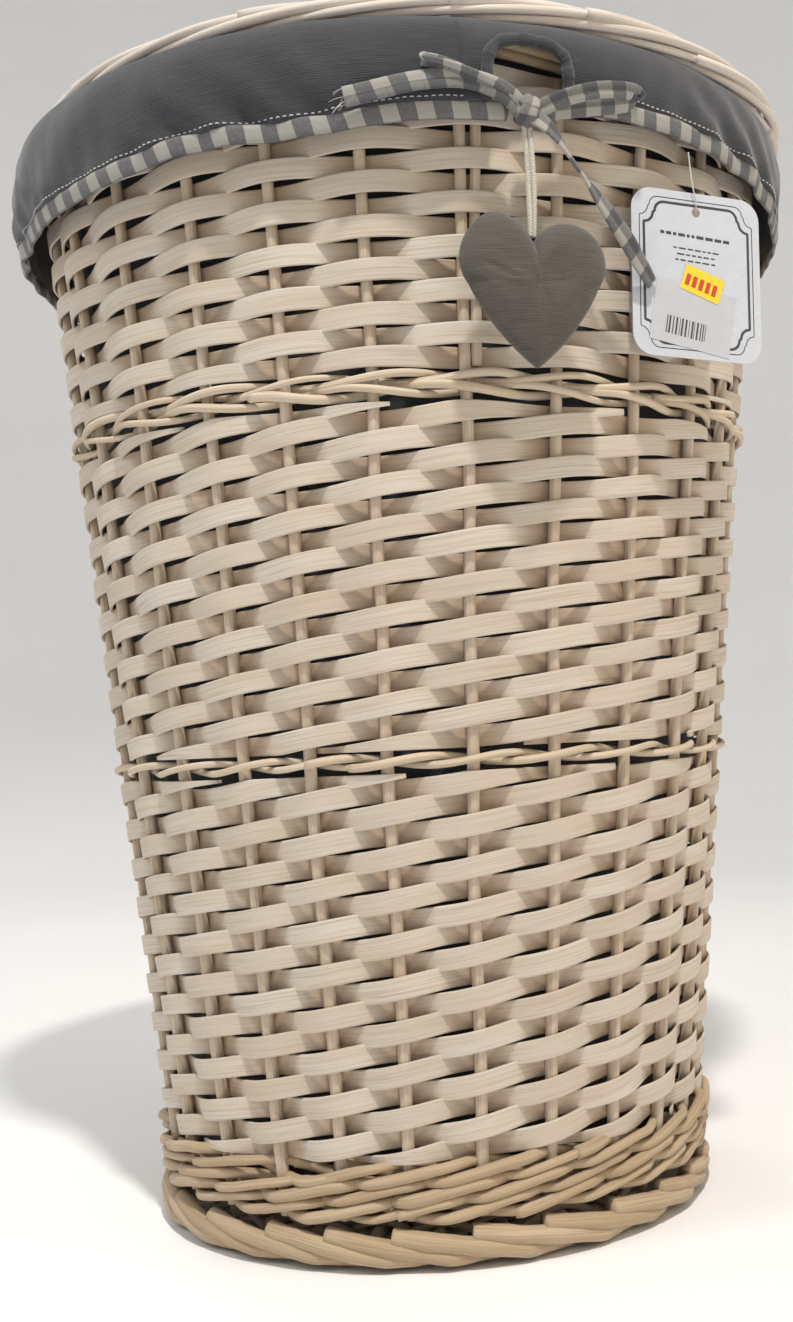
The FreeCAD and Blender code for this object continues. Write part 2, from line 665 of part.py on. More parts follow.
def build():
    """Make every sub-part, from the ground up."""
    foot_border()
    base()
    stakes()
    woven("lower_wale", size("wale_start"), size("wale_pitch"), size("wale_height"),
          size("wale_thickness"), range(4))
    weave_zone("lower", "lower_weave_start", 18, 4)
    weave_zone("middle", "middle_weave_start", 16, 4)
    weave_zone("upper", "upper_weave_start", 14, 4)
    woven("middle_pairing", size("middle_pairing_start"), size("pairing_height") + 0.4,
          size("pairing_height"), size("pairing_thickness"), range(2))
    woven("upper_pairing", size("upper_pairing_start"), size("pairing_height") + 0.4,
          size("pairing_height"), size("pairing_thickness"), range(3))
    group("rim_border", rolled_border("rim_border", "rim_rod"))
    cut_slot(liner())
    bow()
    heart_cord()
    heart()
    tag()
    tag_thread()
    lid()


def write():
    """Check every object and every sub-part, then write one file for each node."""
    doc.recompute()
    for obj in doc.Objects:
        if "Invalid" in obj.State or "Error" in obj.State:
            raise RuntimeError(f"{obj.Label}: {obj.State}")
    for obj in nodes:
        if obj.Shape.isNull() or not obj.Shape.isValid():
            raise RuntimeError(f"{obj.Label} has no valid shape")
        box = obj.Shape.BoundBox
        print(f"{obj.Label}: {len(obj.Shape.Solids)} solids, {obj.Shape.Volume / 1000:.1f} cm3, "
              f"z {box.ZMin:.1f} to {box.ZMax:.1f}")
        obj.Shape.exportStep(f"parts/{obj.Label}.step")
    print(len(nodes), "nodes")


build()
write()
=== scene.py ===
"""Looks of the round tapered willow laundry basket: woven walls, cloth liner, bow, heart, tag and lid.

Lengths are metres, in the CAD model's frame: origin at the centre of the floor, +Z up, front towards -Y.
A bearing is an angle round the basket in degrees, 0 at the front and growing towards +X.
"""
import math

import bpy
import numpy as np
from mathutils import Matrix, Vector


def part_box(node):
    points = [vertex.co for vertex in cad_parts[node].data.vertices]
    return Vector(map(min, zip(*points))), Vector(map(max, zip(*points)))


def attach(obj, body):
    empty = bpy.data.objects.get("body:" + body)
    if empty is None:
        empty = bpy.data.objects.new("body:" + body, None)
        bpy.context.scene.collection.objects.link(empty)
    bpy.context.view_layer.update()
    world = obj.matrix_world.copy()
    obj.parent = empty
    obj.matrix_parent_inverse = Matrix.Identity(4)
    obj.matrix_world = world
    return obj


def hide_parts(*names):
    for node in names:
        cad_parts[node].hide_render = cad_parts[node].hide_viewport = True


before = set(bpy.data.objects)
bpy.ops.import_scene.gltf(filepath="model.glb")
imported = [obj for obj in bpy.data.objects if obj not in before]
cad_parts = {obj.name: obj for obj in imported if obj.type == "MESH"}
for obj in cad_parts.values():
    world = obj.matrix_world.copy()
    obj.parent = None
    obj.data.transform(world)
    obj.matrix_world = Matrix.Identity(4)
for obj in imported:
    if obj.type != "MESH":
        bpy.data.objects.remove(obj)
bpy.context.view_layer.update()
MM = 0.001
TURN = 2 * math.pi

# ---------------------------------------------------------------- driving sizes
STAKES = 26
STEP = 360 / STAKES
FIRST_STAKE = 8.0
STAKE_RADIUS = 3.0 * MM
FOOT_RADIUS = 141.0 * MM
RIM_RADIUS = 208.7 * MM
RIM_HEIGHT = 585.0 * MM
WALL_SLOPE = (RIM_RADIUS - FOOT_RADIUS) / RIM_HEIGHT
STRIP_PITCH = 10.25 * MM
STRIP_WIDTH = 10.5 * MM
STRIP_THICKNESS = 1.5 * MM
LID_SPOKES = 24
BORDER_STRANDS = 5
CLOTH_THICKNESS = 0.9 * MM
CHECK = 8.2 * MM
SLOT_BEARING = 15.5
SLOT_HALF = 5.6
BOW_BEARING = 15.2

# ---------------------------------------------------------------- camera, first of all
LENS = 39.85
CAMERA_PLACE = Vector((0.0, -0.8688, 0.25004))
CAMERA_YAW, CAMERA_PITCH, CAMERA_ROLL = 0.06231, 0.10539, -0.04397
CAMERA_SHIFT = (-0.0843, -0.0619)


def camera():
    """The camera, standing in front of the basket a little under half its height and looking up."""
    forward = Vector((math.sin(CAMERA_YAW) * math.cos(CAMERA_PITCH),
                      math.cos(CAMERA_YAW) * math.cos(CAMERA_PITCH), math.sin(CAMERA_PITCH)))
    level = Vector((math.cos(CAMERA_YAW), -math.sin(CAMERA_YAW), 0))
    above = level.cross(forward)
    right = math.cos(CAMERA_ROLL) * level + math.sin(CAMERA_ROLL) * above
    up = math.cos(CAMERA_ROLL) * above - math.sin(CAMERA_ROLL) * level
    data = bpy.data.cameras.new("camera")
    data.lens, data.sensor_width = LENS, 36.0
    data.shift_x, data.shift_y = CAMERA_SHIFT
    data.clip_start, data.clip_end = 0.05, 20
    made = bpy.data.objects.new("camera", data)
    bpy.context.scene.collection.objects.link(made)
    turned = Matrix((right, up, -forward)).transposed().to_4x4()
    made.matrix_world = Matrix.Translation(CAMERA_PLACE) @ turned
    bpy.context.scene.camera = made


# ---------------------------------------------------------------- places and lines
def at(bearing, radius, height):
    """Points at bearings, distances from the axis and heights, as rows."""
    angle = np.radians(bearing)
    flat = np.broadcast_arrays(radius * np.sin(angle), -radius * np.cos(angle), height)
    return np.stack(flat, axis=-1).astype(float)


def sine(degrees):
    return np.sin(np.radians(degrees))


def heights(node):
    """The lowest and the highest level of a CAD node."""
    low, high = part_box(node)
    return low.z, high.z


def stake_radius(height):
    """How far the stakes' axes are from the basket's axis at a height."""
    return FOOT_RADIUS + WALL_SLOPE * height


def woven_at(bearing, radius, height):
    """A point of the wall's weave. Hand-set stakes crowd a little on the left and right of the front."""
    near = (np.asarray(bearing, float) + 180) % 360 - 180
    crowded = 2.3 * np.exp(-((near + 36) / 20) ** 2) + 1.1 * np.exp(-((near - 46) / 14) ** 2)
    return at(bearing + crowded, radius, height)


def unit(rows):
    return rows / np.linalg.norm(rows, axis=-1, keepdims=True)


def outwards(points, slope=0.0):
    """The direction straight out from the basket's axis at each point, tipped down by the wall's slope."""
    return unit(unit(points * (1, 1, 0)) - np.array((0, 0, slope)))


def spline(points, samples):
    """A smooth line through a few points, with that many samples in all. Rows may carry extra columns."""
    points = np.asarray(points, float)
    padded = np.vstack([2 * points[0] - points[1], points, 2 * points[-1] - points[-2]])
    place = np.linspace(0, len(points) - 1, samples)
    start = np.minimum(place.astype(int), len(points) - 2)
    t = (place - start)[:, None]
    a, b, c, d = (padded[start + k] for k in range(4))
    return 0.5 * (2 * b + (c - a) * t + (2 * a - 5 * b + 4 * c - d) * t ** 2 + (3 * b - a - 3 * c + d) * t ** 3)


def distances(line):
    """How far along a line each of its points is."""
    return np.concatenate([[0], np.cumsum(np.linalg.norm(np.diff(line, axis=0), axis=1))])


def evenly(line, count, endpoint=True):
    """The line again, with its points evenly spaced."""
    along = distances(line)
    place = np.linspace(0, along[-1], count, endpoint=endpoint)
    return np.stack([np.interp(place, along, column) for column in line.T], axis=-1)


def aside(line, turn, distance):
    """Steps off a line at right angles to it: sideways at a turn of 0, outwards at a quarter turn."""
    out = outwards(line)
    side = np.cross(out, unit(np.gradient(line, axis=0)))
    return (np.cos(turn)[:, None] * side + np.sin(turn)[:, None] * out) * distance


def ripple(along, length, amount, rng):
    """A smooth uneven variation along a line: a few sines of about that wavelength."""
    total = np.zeros_like(along, dtype=float)
    for share in (1.0, 0.53, 0.31):
        phase = rng.uniform(0, TURN)
        total += share * np.sin(TURN * along / (length * share * rng.uniform(0.85, 1.2)) + phase)
    return amount * total / 1.84


# ---------------------------------------------------------------- meshes
def oval(outward, upward, corners):
    """A round or oval section: how far each corner is outward and upward, counter-clockwise."""
    turn = np.arange(corners) * TURN / corners
    return np.stack([outward * np.cos(turn), upward * np.sin(turn)], axis=-1)


def quads(rows, columns, row_wraps=False):
    """The four corners of every face between neighbouring rows of points. Each row is closed all round."""
    row = np.arange(rows if row_wraps else rows - 1)[:, None] * columns
    after = (row + columns) % (rows * columns)
    column = np.arange(columns)[None]
    beside = (column + 1) % columns
    return row + column, row + beside, after + beside, after + column


def face_list(*corners):
    return [tuple(face) for face in np.stack(corners, axis=-1).reshape(-1, len(corners)).tolist()]


def sweep(line, outward, sections, closed=False, twist=None):
    """A section carried along a line. Returns points, faces and the grain: distance along, place across."""
    line = np.asarray(line, float)
    count = len(line)
    if closed:
        along = unit(np.roll(line, -1, axis=0) - np.roll(line, 1, axis=0))
    else:
        along = unit(np.gradient(line, axis=0))
    out = unit(outward - along * (outward * along).sum(-1, keepdims=True))
    up = np.cross(out, along)
    if twist is not None:
        cos, sin = np.cos(twist)[:, None], np.sin(twist)[:, None]
        out, up = out * cos + up * sin, up * cos - out * sin
    sections = np.broadcast_to(sections, (count,) + np.shape(sections)[-2:])
    corners = sections.shape[1]
    points = line[:, None] + sections[..., :1] * out[:, None] + sections[..., 1:] * up[:, None]
    around = np.linalg.norm(np.roll(sections, -1, axis=1) - sections, axis=-1)
    across = np.concatenate([np.zeros((count, 1)), np.cumsum(around, axis=1)[:, :-1]], axis=1)
    distance = np.broadcast_to(distances(line)[:, None], (count, corners))
    grain = np.stack([distance, sections[..., 1], across], axis=-1)
    here, beside, opposite, after = quads(count, corners, row_wraps=closed)
    faces = face_list(here, after, opposite, beside)
    if not closed:
        last = (count - 1) * corners
        faces.append(tuple(range(corners)))
        faces.append(tuple(range(last + corners - 1, last - 1, -1)))
    return points.reshape(-1, 3), faces, grain.reshape(-1, 3)


def round_sheet(points):
    """A surface through rows of points, closed all round, with the grain from its rows and columns."""
    rows, columns = points.shape[:2]
    steps = np.linalg.norm(np.diff(points, axis=1), axis=-1)
    along = np.concatenate([np.zeros((rows, 1)), np.cumsum(steps, axis=1)], axis=1)
    drop = np.linalg.norm(np.diff(points, axis=0), axis=-1)
    across = np.concatenate([np.zeros((1, columns)), np.cumsum(drop, axis=0)], axis=0)
    grain = np.stack([along, across, np.zeros_like(along)], axis=-1)
    return points.reshape(-1, 3), face_list(*quads(rows, columns)), grain.reshape(-1, 3)


def rod(line, thick, corners, centre=0.0):
    """A round rod along a line, with its radius at each point."""
    return sweep(line, outwards(line - centre), oval(1.0, 1.0, corners) * thick[:, None, None])


def worn_rod(line, radius, corners, taper, rng):
    """A round rod whose thickness is a little uneven and falls off towards its end."""
    share = np.linspace(0, 1, len(line))
    return rod(line, radius * (1 - taper * share) * (1 + ripple(share, 0.3, 0.05, rng)), corners)


def laid(name, points, faces, material, smooth=True):
    """A new mesh object in the scene."""
    mesh = bpy.data.meshes.new(name)
    mesh.from_pydata(np.asarray(points).tolist(), [], faces)
    mesh.polygons.foreach_set("use_smooth", [smooth] * len(mesh.polygons))
    mesh.materials.append(material)
    made = bpy.data.objects.new(name, mesh)
    bpy.context.scene.collection.objects.link(made)
    return made


def keep(made, name, values):
    """Keep a number or a vector for each point of a mesh, for its material to read."""
    values = np.asarray(values, np.float32)
    kind, field = ("FLOAT", "value") if values.ndim == 1 else ("FLOAT_VECTOR", "vector")
    stored = made.data.attributes.new(name, kind, "POINT")
    stored.data.foreach_set(field, values.ravel())


def piece(name, parts, material, body, replaced=(), smooth=True, tone=None):
    """One named object made of swept parts, with its grain, material, body and the CAD nodes it stands for.

    A part is its points, faces, grain and, for a strip, how far inside the stakes each point lies, which its
    material darkens there as painted shade. Every part has its own tone, unless the whole piece is given one.
    """
    points, faces, grain, tones, recess_shades, start = [], [], [], [], [], 0
    for number, (part_points, part_faces, part_grain, *part_recess_shade) in enumerate(parts):
        count = len(part_points)
        points.append(part_points)
        faces += [tuple(corner + start for corner in face) for face in part_faces]
        grain.append(part_grain)
        tones.append(np.full(count, (number * 0.618034) % 1.0 if tone is None else tone))
        recess_shades.append(part_recess_shade[0] if part_recess_shade else np.zeros(count))
        start += count
    made = laid(name, np.concatenate(points), faces, material, smooth)
    for label, values in (("grain", grain), ("tone", tones), ("recess_shade", recess_shades)):
        keep(made, label, np.concatenate(values))
    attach(made, body)
    if replaced:
        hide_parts(*replaced)
    return made


def thicken(made, offset):
    """Give a single surface the cloth's thickness."""
    thick = made.modifiers.new("cloth", "SOLIDIFY")
    thick.thickness, thick.offset = CLOTH_THICKNESS, offset


# ---------------------------------------------------------------- materials
class Shader:
    """A material's node tree, with short calls for the nodes that these materials use."""

    def __init__(self, name):
        self.material = bpy.data.materials.new(name)
        self.material.use_nodes = True
        self.nodes = self.material.node_tree.nodes
        self.surface = self.nodes["Principled BSDF"]

    def feed(self, socket, value):
        """Join a socket to another node's output, or give it a plain value."""
        if isinstance(value, bpy.types.NodeSocket):
            self.material.node_tree.links.new(value, socket)
        elif value is not None:
            socket.default_value = value

    def node(self, kind, **inputs):
        made = self.nodes.new("ShaderNode" + kind)
        for name, value in inputs.items():
            self.feed(made.inputs[name.replace("_", " ")], value)
        return made

    def set(self, **values):
        """Values or other nodes' outputs, on the shader's own sockets."""
        for name, value in values.items():
            self.feed(self.surface.inputs[name.replace("_", " ")], value)

    def attribute(self, name, output="Vector"):
        made = self.node("Attribute")
        made.attribute_name = name
        return made.outputs[output]

    def place(self):
        return self.node("TexCoord").outputs["Object"]

    def stretched(self, vector, scale):
        return self.node("Mapping", Vector=vector, Scale=scale).outputs["Vector"]

    def noise(self, vector, scale, detail=3.0, roughness=0.55):
        made = self.node("TexNoise", Vector=vector, Scale=scale, Detail=detail, Roughness=roughness)
        return made.outputs["Fac"]

    def fibres(self, vector, stretch, detail=3.0, roughness=0.6):
        """Noise drawn out along a grain."""
        return self.noise(self.stretched(vector, stretch), 1.0, detail, roughness)

    def wave(self, vector, scale, direction="X", distortion=0.0):
        made = self.node("TexWave", Vector=vector, Scale=scale, Distortion=distortion, Detail_Scale=1.5)
        made.bands_direction = direction
        return made.outputs["Fac"]

    def ramp(self, value, stops):
        made = self.node("ValToRGB", Fac=value)
        while len(made.color_ramp.elements) < len(stops):
            made.color_ramp.elements.new(0.5)
        for element, (position, colour) in zip(made.color_ramp.elements, stops):
            element.position = position
            element.color = (*colour, 1.0)
        return made.outputs["Color"]

    def grey(self, value, start, low, end, high):
        """A value from start to end carried over to one from low to high."""
        return self.ramp(value, [(start, (low,) * 3), (end, (high,) * 3)])

    def mix(self, amount, first, second):
        """A blend from the first colour, another node's, to the second, a plain one or another node's."""
        made = self.node("Mix")
        made.data_type = "RGBA"
        sockets = {socket.identifier: socket for socket in (*made.inputs, *made.outputs)}
        self.feed(sockets["Factor_Float"], amount)
        self.feed(sockets["A_Color"], first)
        self.feed(sockets["B_Color"], second if isinstance(second, bpy.types.NodeSocket) else (*second, 1.0))
        return sockets["Result_Color"]

    def math(self, operation, *values):
        made = self.node("Math")
        made.operation = operation
        for socket, value in zip(made.inputs, values):
            self.feed(socket, value)
        return made.outputs[0]

    def blend(self, first, share, second, rest):
        """A weighted sum of two values."""
        return self.math("MULTIPLY_ADD", first, share, self.math("MULTIPLY", second, rest))

    def split(self, vector):
        return self.node("SeparateXYZ", Vector=vector).outputs

    def joined(self, x, y, z=0.0):
        return self.node("CombineXYZ", X=x, Y=y, Z=z).outputs[0]

    def bump(self, height, strength, distance):
        made = self.node("Bump", Strength=strength, Distance=distance, Height=height)
        self.set(Normal=made.outputs["Normal"])


def willow(name, pale, deep, stain):
    """Peeled willow washed pinkish cream: grain along the rod, darker streaks, mottling, and painted shade
    where a strip passes inside the stakes.
    """
    s = Shader(name)
    grain, tone = s.attribute("grain"), s.attribute("tone", "Fac")
    moved = s.node("VectorMath")
    s.feed(moved.inputs[0], grain)
    s.feed(moved.inputs[1], s.joined(s.math("MULTIPLY", tone, 7.0), s.math("MULTIPLY", tone, 3.0), tone))
    shifted = moved.outputs[0]
    streaks = s.fibres(shifted, (22, 900, 900), 4.0)
    fine = s.fibres(shifted, (90, 2600, 2600), 2.0)
    patches = s.fibres(shifted, (14, 90, 90), roughness=0.5)
    base = s.ramp(streaks, [(0.28, deep), (0.52, pale), (0.8, tuple(min(1, c * 1.08) for c in pale))])
    mottled = s.mix(s.grey(patches, 0.42, 0, 0.75, 0.5), base, stain)
    toned = s.mix(s.grey(tone, 0.0, 0, 1.0, 0.34), mottled, deep)
    warm = s.mix(s.grey(s.noise(s.place(), 26.0), 0.35, 0, 0.75, 0.3), toned, stain)
    # Painted shade: a darker, warmer tan that stands in for the shadow on strips where they pass inside the
    # stakes.
    painted_recess_shade = tuple(c * k for c, k in zip(stain, (0.78, 0.66, 0.52)))
    s.set(Base_Color=s.mix(s.grey(s.attribute("recess_shade", "Fac"), 0.5, 0, 1.0, 0.6), warm, painted_recess_shade),
          Roughness=s.grey(streaks, 0.2, 0.72, 0.8, 0.52), Specular_IOR_Level=0.35, Sheen_Weight=0.08)
    s.bump(s.math("ADD", s.math("MULTIPLY", streaks, 0.7), s.math("MULTIPLY", fine, 0.3)), 0.5, 0.4 * MM)
    return s.material


def cloth(name, thread, shade, rib_pitch):
    """A plain woven cloth with fine ribs, thread to thread variation and a soft sheen."""
    s = Shader(name)
    grain = s.attribute("grain")
    scale = TURN / (20 * rib_pitch)
    ribs, across = s.wave(grain, scale, "Y", 0.6), s.wave(grain, scale, "X", 0.4)
    slubs = s.fibres(grain, (60, 1600, 1))
    thready = s.blend(across, 0.3, ribs, 0.7)
    base = s.ramp(s.blend(slubs, 0.7, thready, 0.3), [(0.25, shade), (0.7, thread)])
    worn = s.grey(s.noise(s.place(), 9.0, roughness=0.6), 0.4, 0, 0.8, 0.5)
    s.set(Base_Color=s.mix(worn, base, shade), Roughness=s.grey(slubs, 0.2, 0.95, 0.8, 0.8),
          Sheen_Weight=0.3, Sheen_Roughness=0.5, Specular_IOR_Level=0.2)
    s.bump(s.blend(slubs, 0.45, thready, 0.55), 0.6, 0.4 * MM)
    return s.material


def gingham(name, crossing):
    """Woven checks: cream where neither stripe runs, grey where one does, dark where both cross."""
    s = Shader(name)
    grain = s.attribute("grain")
    along, across, _ = s.split(grain)

    def stripes(value, shift):
        phase = s.math("FRACT", s.math("MULTIPLY_ADD", value, 1 / (2 * CHECK), shift))
        return s.math("GREATER_THAN", phase, 0.5)

    lengthways = stripes(s.math("MULTIPLY_ADD", across, 0.18, along), 0.0)
    both = s.blend(stripes(across, crossing), 0.45, lengthways, 0.55)
    slubs = s.fibres(grain, (700, 700, 1))
    blended = s.math("MULTIPLY_ADD", s.math("SUBTRACT", slubs, 0.5), 0.35, both)
    s.set(Base_Color=s.ramp(blended, [(0.0, (0.36, 0.345, 0.31)), (0.3, (0.29, 0.28, 0.255)),
                                      (0.55, (0.13, 0.13, 0.132)), (1.0, (0.085, 0.088, 0.093))]),
          Roughness=s.grey(slubs, 0.2, 0.92, 0.8, 0.78), Sheen_Weight=0.2, Specular_IOR_Level=0.2)
    s.bump(s.blend(s.wave(grain, 600.0, "X", 0.3), 0.5, s.wave(grain, 600.0, "Y", 0.3), 0.5), 0.5, 0.3 * MM)
    return s.material


def twisted_cotton(name, pale, deep):
    """Undyed cotton yarn, fibres winding round each strand."""
    s = Shader(name)
    along, _, around = s.split(s.attribute("grain"))
    wound = s.joined(s.math("MULTIPLY_ADD", around, 0.9, along), around)
    fuzz = s.noise(s.place(), 1500.0, roughness=0.7)
    tint = s.blend(fuzz, 0.5, s.wave(wound, 420.0, "X", 1.2), 0.5)
    s.set(Base_Color=s.ramp(tint, [(0.2, deep), (0.75, pale)]), Roughness=s.grey(fuzz, 0.2, 0.95, 0.8, 0.8),
          Sheen_Weight=0.3)
    s.bump(tint, 0.6, 0.3 * MM)
    return s.material


def card(name, tint, gloss):
    """Printed card: faint fibre mottling under a gloss that waves slightly."""
    s = Shader(name)
    mottle, smudges = s.noise(s.place(), 160.0, 4.0, 0.6), s.noise(s.place(), 26.0, roughness=0.5)
    s.set(Base_Color=s.ramp(mottle, [(0.3, tuple(0.94 * c for c in tint)), (0.7, tint)]),
          Roughness=s.grey(smudges, 0.3, gloss, 0.75, gloss + 0.14), Coat_Weight=0.4, Coat_Roughness=0.12)
    s.bump(smudges, 0.25, 0.6 * MM)
    return s.material


def plain_ground():
    """The pale floor, barely mottled."""
    s = Shader("floor")
    s.set(Base_Color=s.grey(s.noise(s.place(), 3.0, roughness=0.5), 0.3, 0.90, 0.7, 0.93), Roughness=0.9)
    return s.material


STRIP = willow("willow_strip", (0.62, 0.56, 0.49), (0.45, 0.36, 0.27), (0.54, 0.42, 0.30))
ROD = willow("willow_rod", (0.58, 0.49, 0.39), (0.38, 0.28, 0.18), (0.46, 0.33, 0.20))
WEAVER = willow("willow_weaver", (0.66, 0.57, 0.45), (0.42, 0.31, 0.20), (0.52, 0.38, 0.24))
LOW_ROD = willow("low_rod", (0.51, 0.40, 0.27), (0.30, 0.20, 0.11), (0.41, 0.28, 0.16))
LID_ROD = willow("lid_rod", (0.72, 0.65, 0.59), (0.48, 0.41, 0.35), (0.57, 0.49, 0.41))
LINER = cloth("liner_cloth", (0.060, 0.062, 0.070), (0.021, 0.022, 0.026), 1.1 * MM)
HEART = cloth("heart_cloth", (0.125, 0.113, 0.096), (0.046, 0.041, 0.034), 0.95 * MM)
CHECKS = gingham("gingham", 0.25)
FOLDED_CHECKS = gingham("gingham_tape", 0.5)
COTTON = twisted_cotton("cotton_cord", (0.74, 0.69, 0.60), (0.42, 0.38, 0.32))
WHITE_THREAD = twisted_cotton("thread", (0.75, 0.73, 0.70), (0.45, 0.43, 0.40))
# The card's faint blue cast is painted reflection: the glossy white card shows its cool surroundings.
CARD = card("tag_card", (0.56, 0.58, 0.63), 0.2)
PRINT = card("tag_print", (0.045, 0.045, 0.055), 0.30)
LABEL = card("label_paper", (0.50, 0.51, 0.54), 0.45)
STICKER = card("sticker_paper", (0.90, 0.62, 0.03), 0.30)
STICKER_BARS = card("sticker_bars", (0.55, 0.05, 0.02), 0.40)


# ---------------------------------------------------------------- the willow wall
# The section of a split strip one thick and one wide: flat, with softened edges and a slightly crowned face.
STRIP_SECTION = np.array([(0.3, -0.5), (0.5, -0.48), (0.5, -0.41), (0.52, 0), (0.5, 0.41), (0.5, 0.48),
                          (0.3, 0.5), (-0.3, 0.5), (-0.5, 0.46), (-0.5, -0.46), (-0.3, -0.5)])


def weaving(bearing, parity, period):
    """How far through its over-and-under pattern a weaver is, as an angle that is 0 outside a stake."""
    return TURN * ((bearing - FIRST_STAKE) / STEP + parity) / period


def strip(number, low, high, starts, rng):
    """One split willow strip that winds up through its zone, cut off where it meets the bands."""
    rise = starts * STRIP_PITCH / 360
    reference = FIRST_STAKE + 180
    level = low + (number + 0.5) * STRIP_PITCH
    hidden = 0.25 * STRIP_WIDTH
    first = reference + (low - STRIP_WIDTH / 2 + hidden - level) / rise
    last = reference + (high + STRIP_WIDTH / 2 - hidden - level) / rise
    bearing = np.linspace(first, last, int((last - first) / STEP * 12) + 1)
    side = np.cos(weaving(bearing, number, 2))
    heave = (0.85 if starts > 2 else 0.45) * MM * np.cos(weaving(bearing - STEP / 2, number, 2))
    middle = level + rise * (bearing - reference) + ripple(bearing, 75, 0.35 * MM, rng) + heave
    width = STRIP_WIDTH * (1 + ripple(bearing, 160, 0.05, rng))
    bottom = np.maximum(middle - width / 2, low)
    top = np.minimum(middle + width / 2, high)
    middle, width = (bottom + top) / 2, top - bottom
    swing = STAKE_RADIUS + STRIP_THICKNESS / 2 + 0.45 * MM + ripple(bearing, 40, 0.3 * MM, rng)
    line = woven_at(bearing, stake_radius(middle) + swing * side, middle)
    thickness = STRIP_THICKNESS * (1 + ripple(bearing, 90, 0.12, rng))
    sections = STRIP_SECTION * np.stack([thickness, width], axis=-1)[:, None]
    lean = ripple(bearing, 28, math.radians(3.0), rng)
    # How far inside the stakes each point lies, for the painted shade that the material lays there.
    recess_shade = np.repeat((1 - side) / 2, len(STRIP_SECTION))
    return *sweep(line, outwards(line, WALL_SLOPE), sections, twist=lean), recess_shade


def weave_zone(name, starts, nodes, seed):
    """The strips of one zone of the wall: several wound up it side by side."""
    rng = np.random.default_rng(seed)
    names = [f"{name}_weave_{number + 1}" for number in range(nodes)]
    low, high = heights(names[0])[0], heights(names[-1])[1]
    for number in range(starts):
        piece(f"{name}_strip_{number + 1}", [strip(number, low, high, starts, rng)], STRIP, "basket",
              names, tone=(seed * 0.37 + number * 0.618) % 1.0)


def rod_line(bearing, rod_radius, height, parity, period, heave, rng, loose):
    """A round weaver's line: outside and inside the stakes in turn, rising as it comes out."""
    phase = weaving(bearing, parity, period)
    side = np.cos(phase) if period == 2 else np.clip(np.cos(phase) * 1.35 + 0.35, -1, 1)
    level = height + heave * np.sin(phase) + ripple(bearing, 55, 0.5 * MM * loose, rng)
    reach = STAKE_RADIUS + rod_radius + 0.3 * MM
    radius = stake_radius(level) + reach * side + ripple(bearing, 35, 0.3 * MM * loose, rng)
    return woven_at(bearing, radius, level)


def weaver_lengths(lengths, before, after, rod_radius, spread, corners, rng, weave, loose=1.0):
    """One weaver's lengths round the wall. Each starts before its share of it and ends after that share.

    weave: the height, parity, period and heave of rod_line.
    """
    start, run = rng.uniform(0, 360), 360 / lengths
    made = []
    for number in range(lengths):
        bearing = np.arange(start + number * run - before, start + (number + 1) * run + after, STEP / 12)
        line = rod_line(bearing, rod_radius, *weave, rng, loose)
        made.append(worn_rod(line, rod_radius * rng.uniform(*spread), corners, 0.3, rng))
    return made


def pairing(name, bands, node, seed, loose=1.0):
    """Pairs of thin rods twisted round each other between the stakes, in three lengths each."""
    rng = np.random.default_rng(seed)
    parts = []
    for height, heave in bands:
        for strand in (0, 1):
            weave = (height, strand, 2, heave)
            parts += weaver_lengths(3, 5, 9, 2.3 * MM, (0.85, 1.08), 8, rng, weave, loose)
    piece(name, parts, WEAVER, "basket", [node])


def bands():
    """The two bands between the zones of strips: one pair of rods below, two pairs leaning both ways above."""
    heave = 2.2 * MM
    pairing("middle_band", [(sum(heights("middle_pairing")) / 2, heave)], "middle_pairing", 7)
    low, high = heights("upper_pairing")
    pairing("upper_band", [(high - 3.6 * MM, heave), (low + 3.9 * MM, -heave)], "upper_pairing", 8, 1.6)


def wale():
    """The bottom band: rows of three rods, each in front of two stakes and behind one."""
    rng = np.random.default_rng(5)
    low, high = heights("lower_wale")
    rows, strands = 3, 3
    parts = []
    for row in range(rows):
        height = low + (row + 0.5) * (high - low) / rows
        for strand in range(strands):
            weave = (height, strand + row * 0.5, strands, 3.9 * MM)
            parts += weaver_lengths(4, 6, 8, 3.3 * MM, (0.78, 1.06), 9, rng, weave)
    piece("bottom_wale", parts, LOW_ROD, "basket", ["lower_wale"])


def stake(bearing, node, radius, rng):
    """One upright rod, not quite straight and thinner towards its top."""
    low, high = heights(node)
    height = np.linspace(low, high, 70)
    line = woven_at(bearing + ripple(height, 0.32, 0.35, rng), stake_radius(height), height)
    thick = radius * (1.05 - 0.1 * (height - low) / (high - low)) * (1 + ripple(height, 0.05, 0.04, rng))
    return rod(line, thick, 12)


def stakes():
    """All the upright rods, and the short one pushed in beside one of them."""
    rng = np.random.default_rng(11)
    for number in range(STAKES):
        made = stake(FIRST_STAKE + number * STEP, "stakes", STAKE_RADIUS, rng)
        piece(f"stake_{number + 1}", [made], ROD, "basket", ["stakes"])
    made = stake(FIRST_STAKE + 1.95, "bye_stake", 2.7 * MM, rng)
    piece("bye_stake_rod", [made], ROD, "basket", ["bye_stake"])


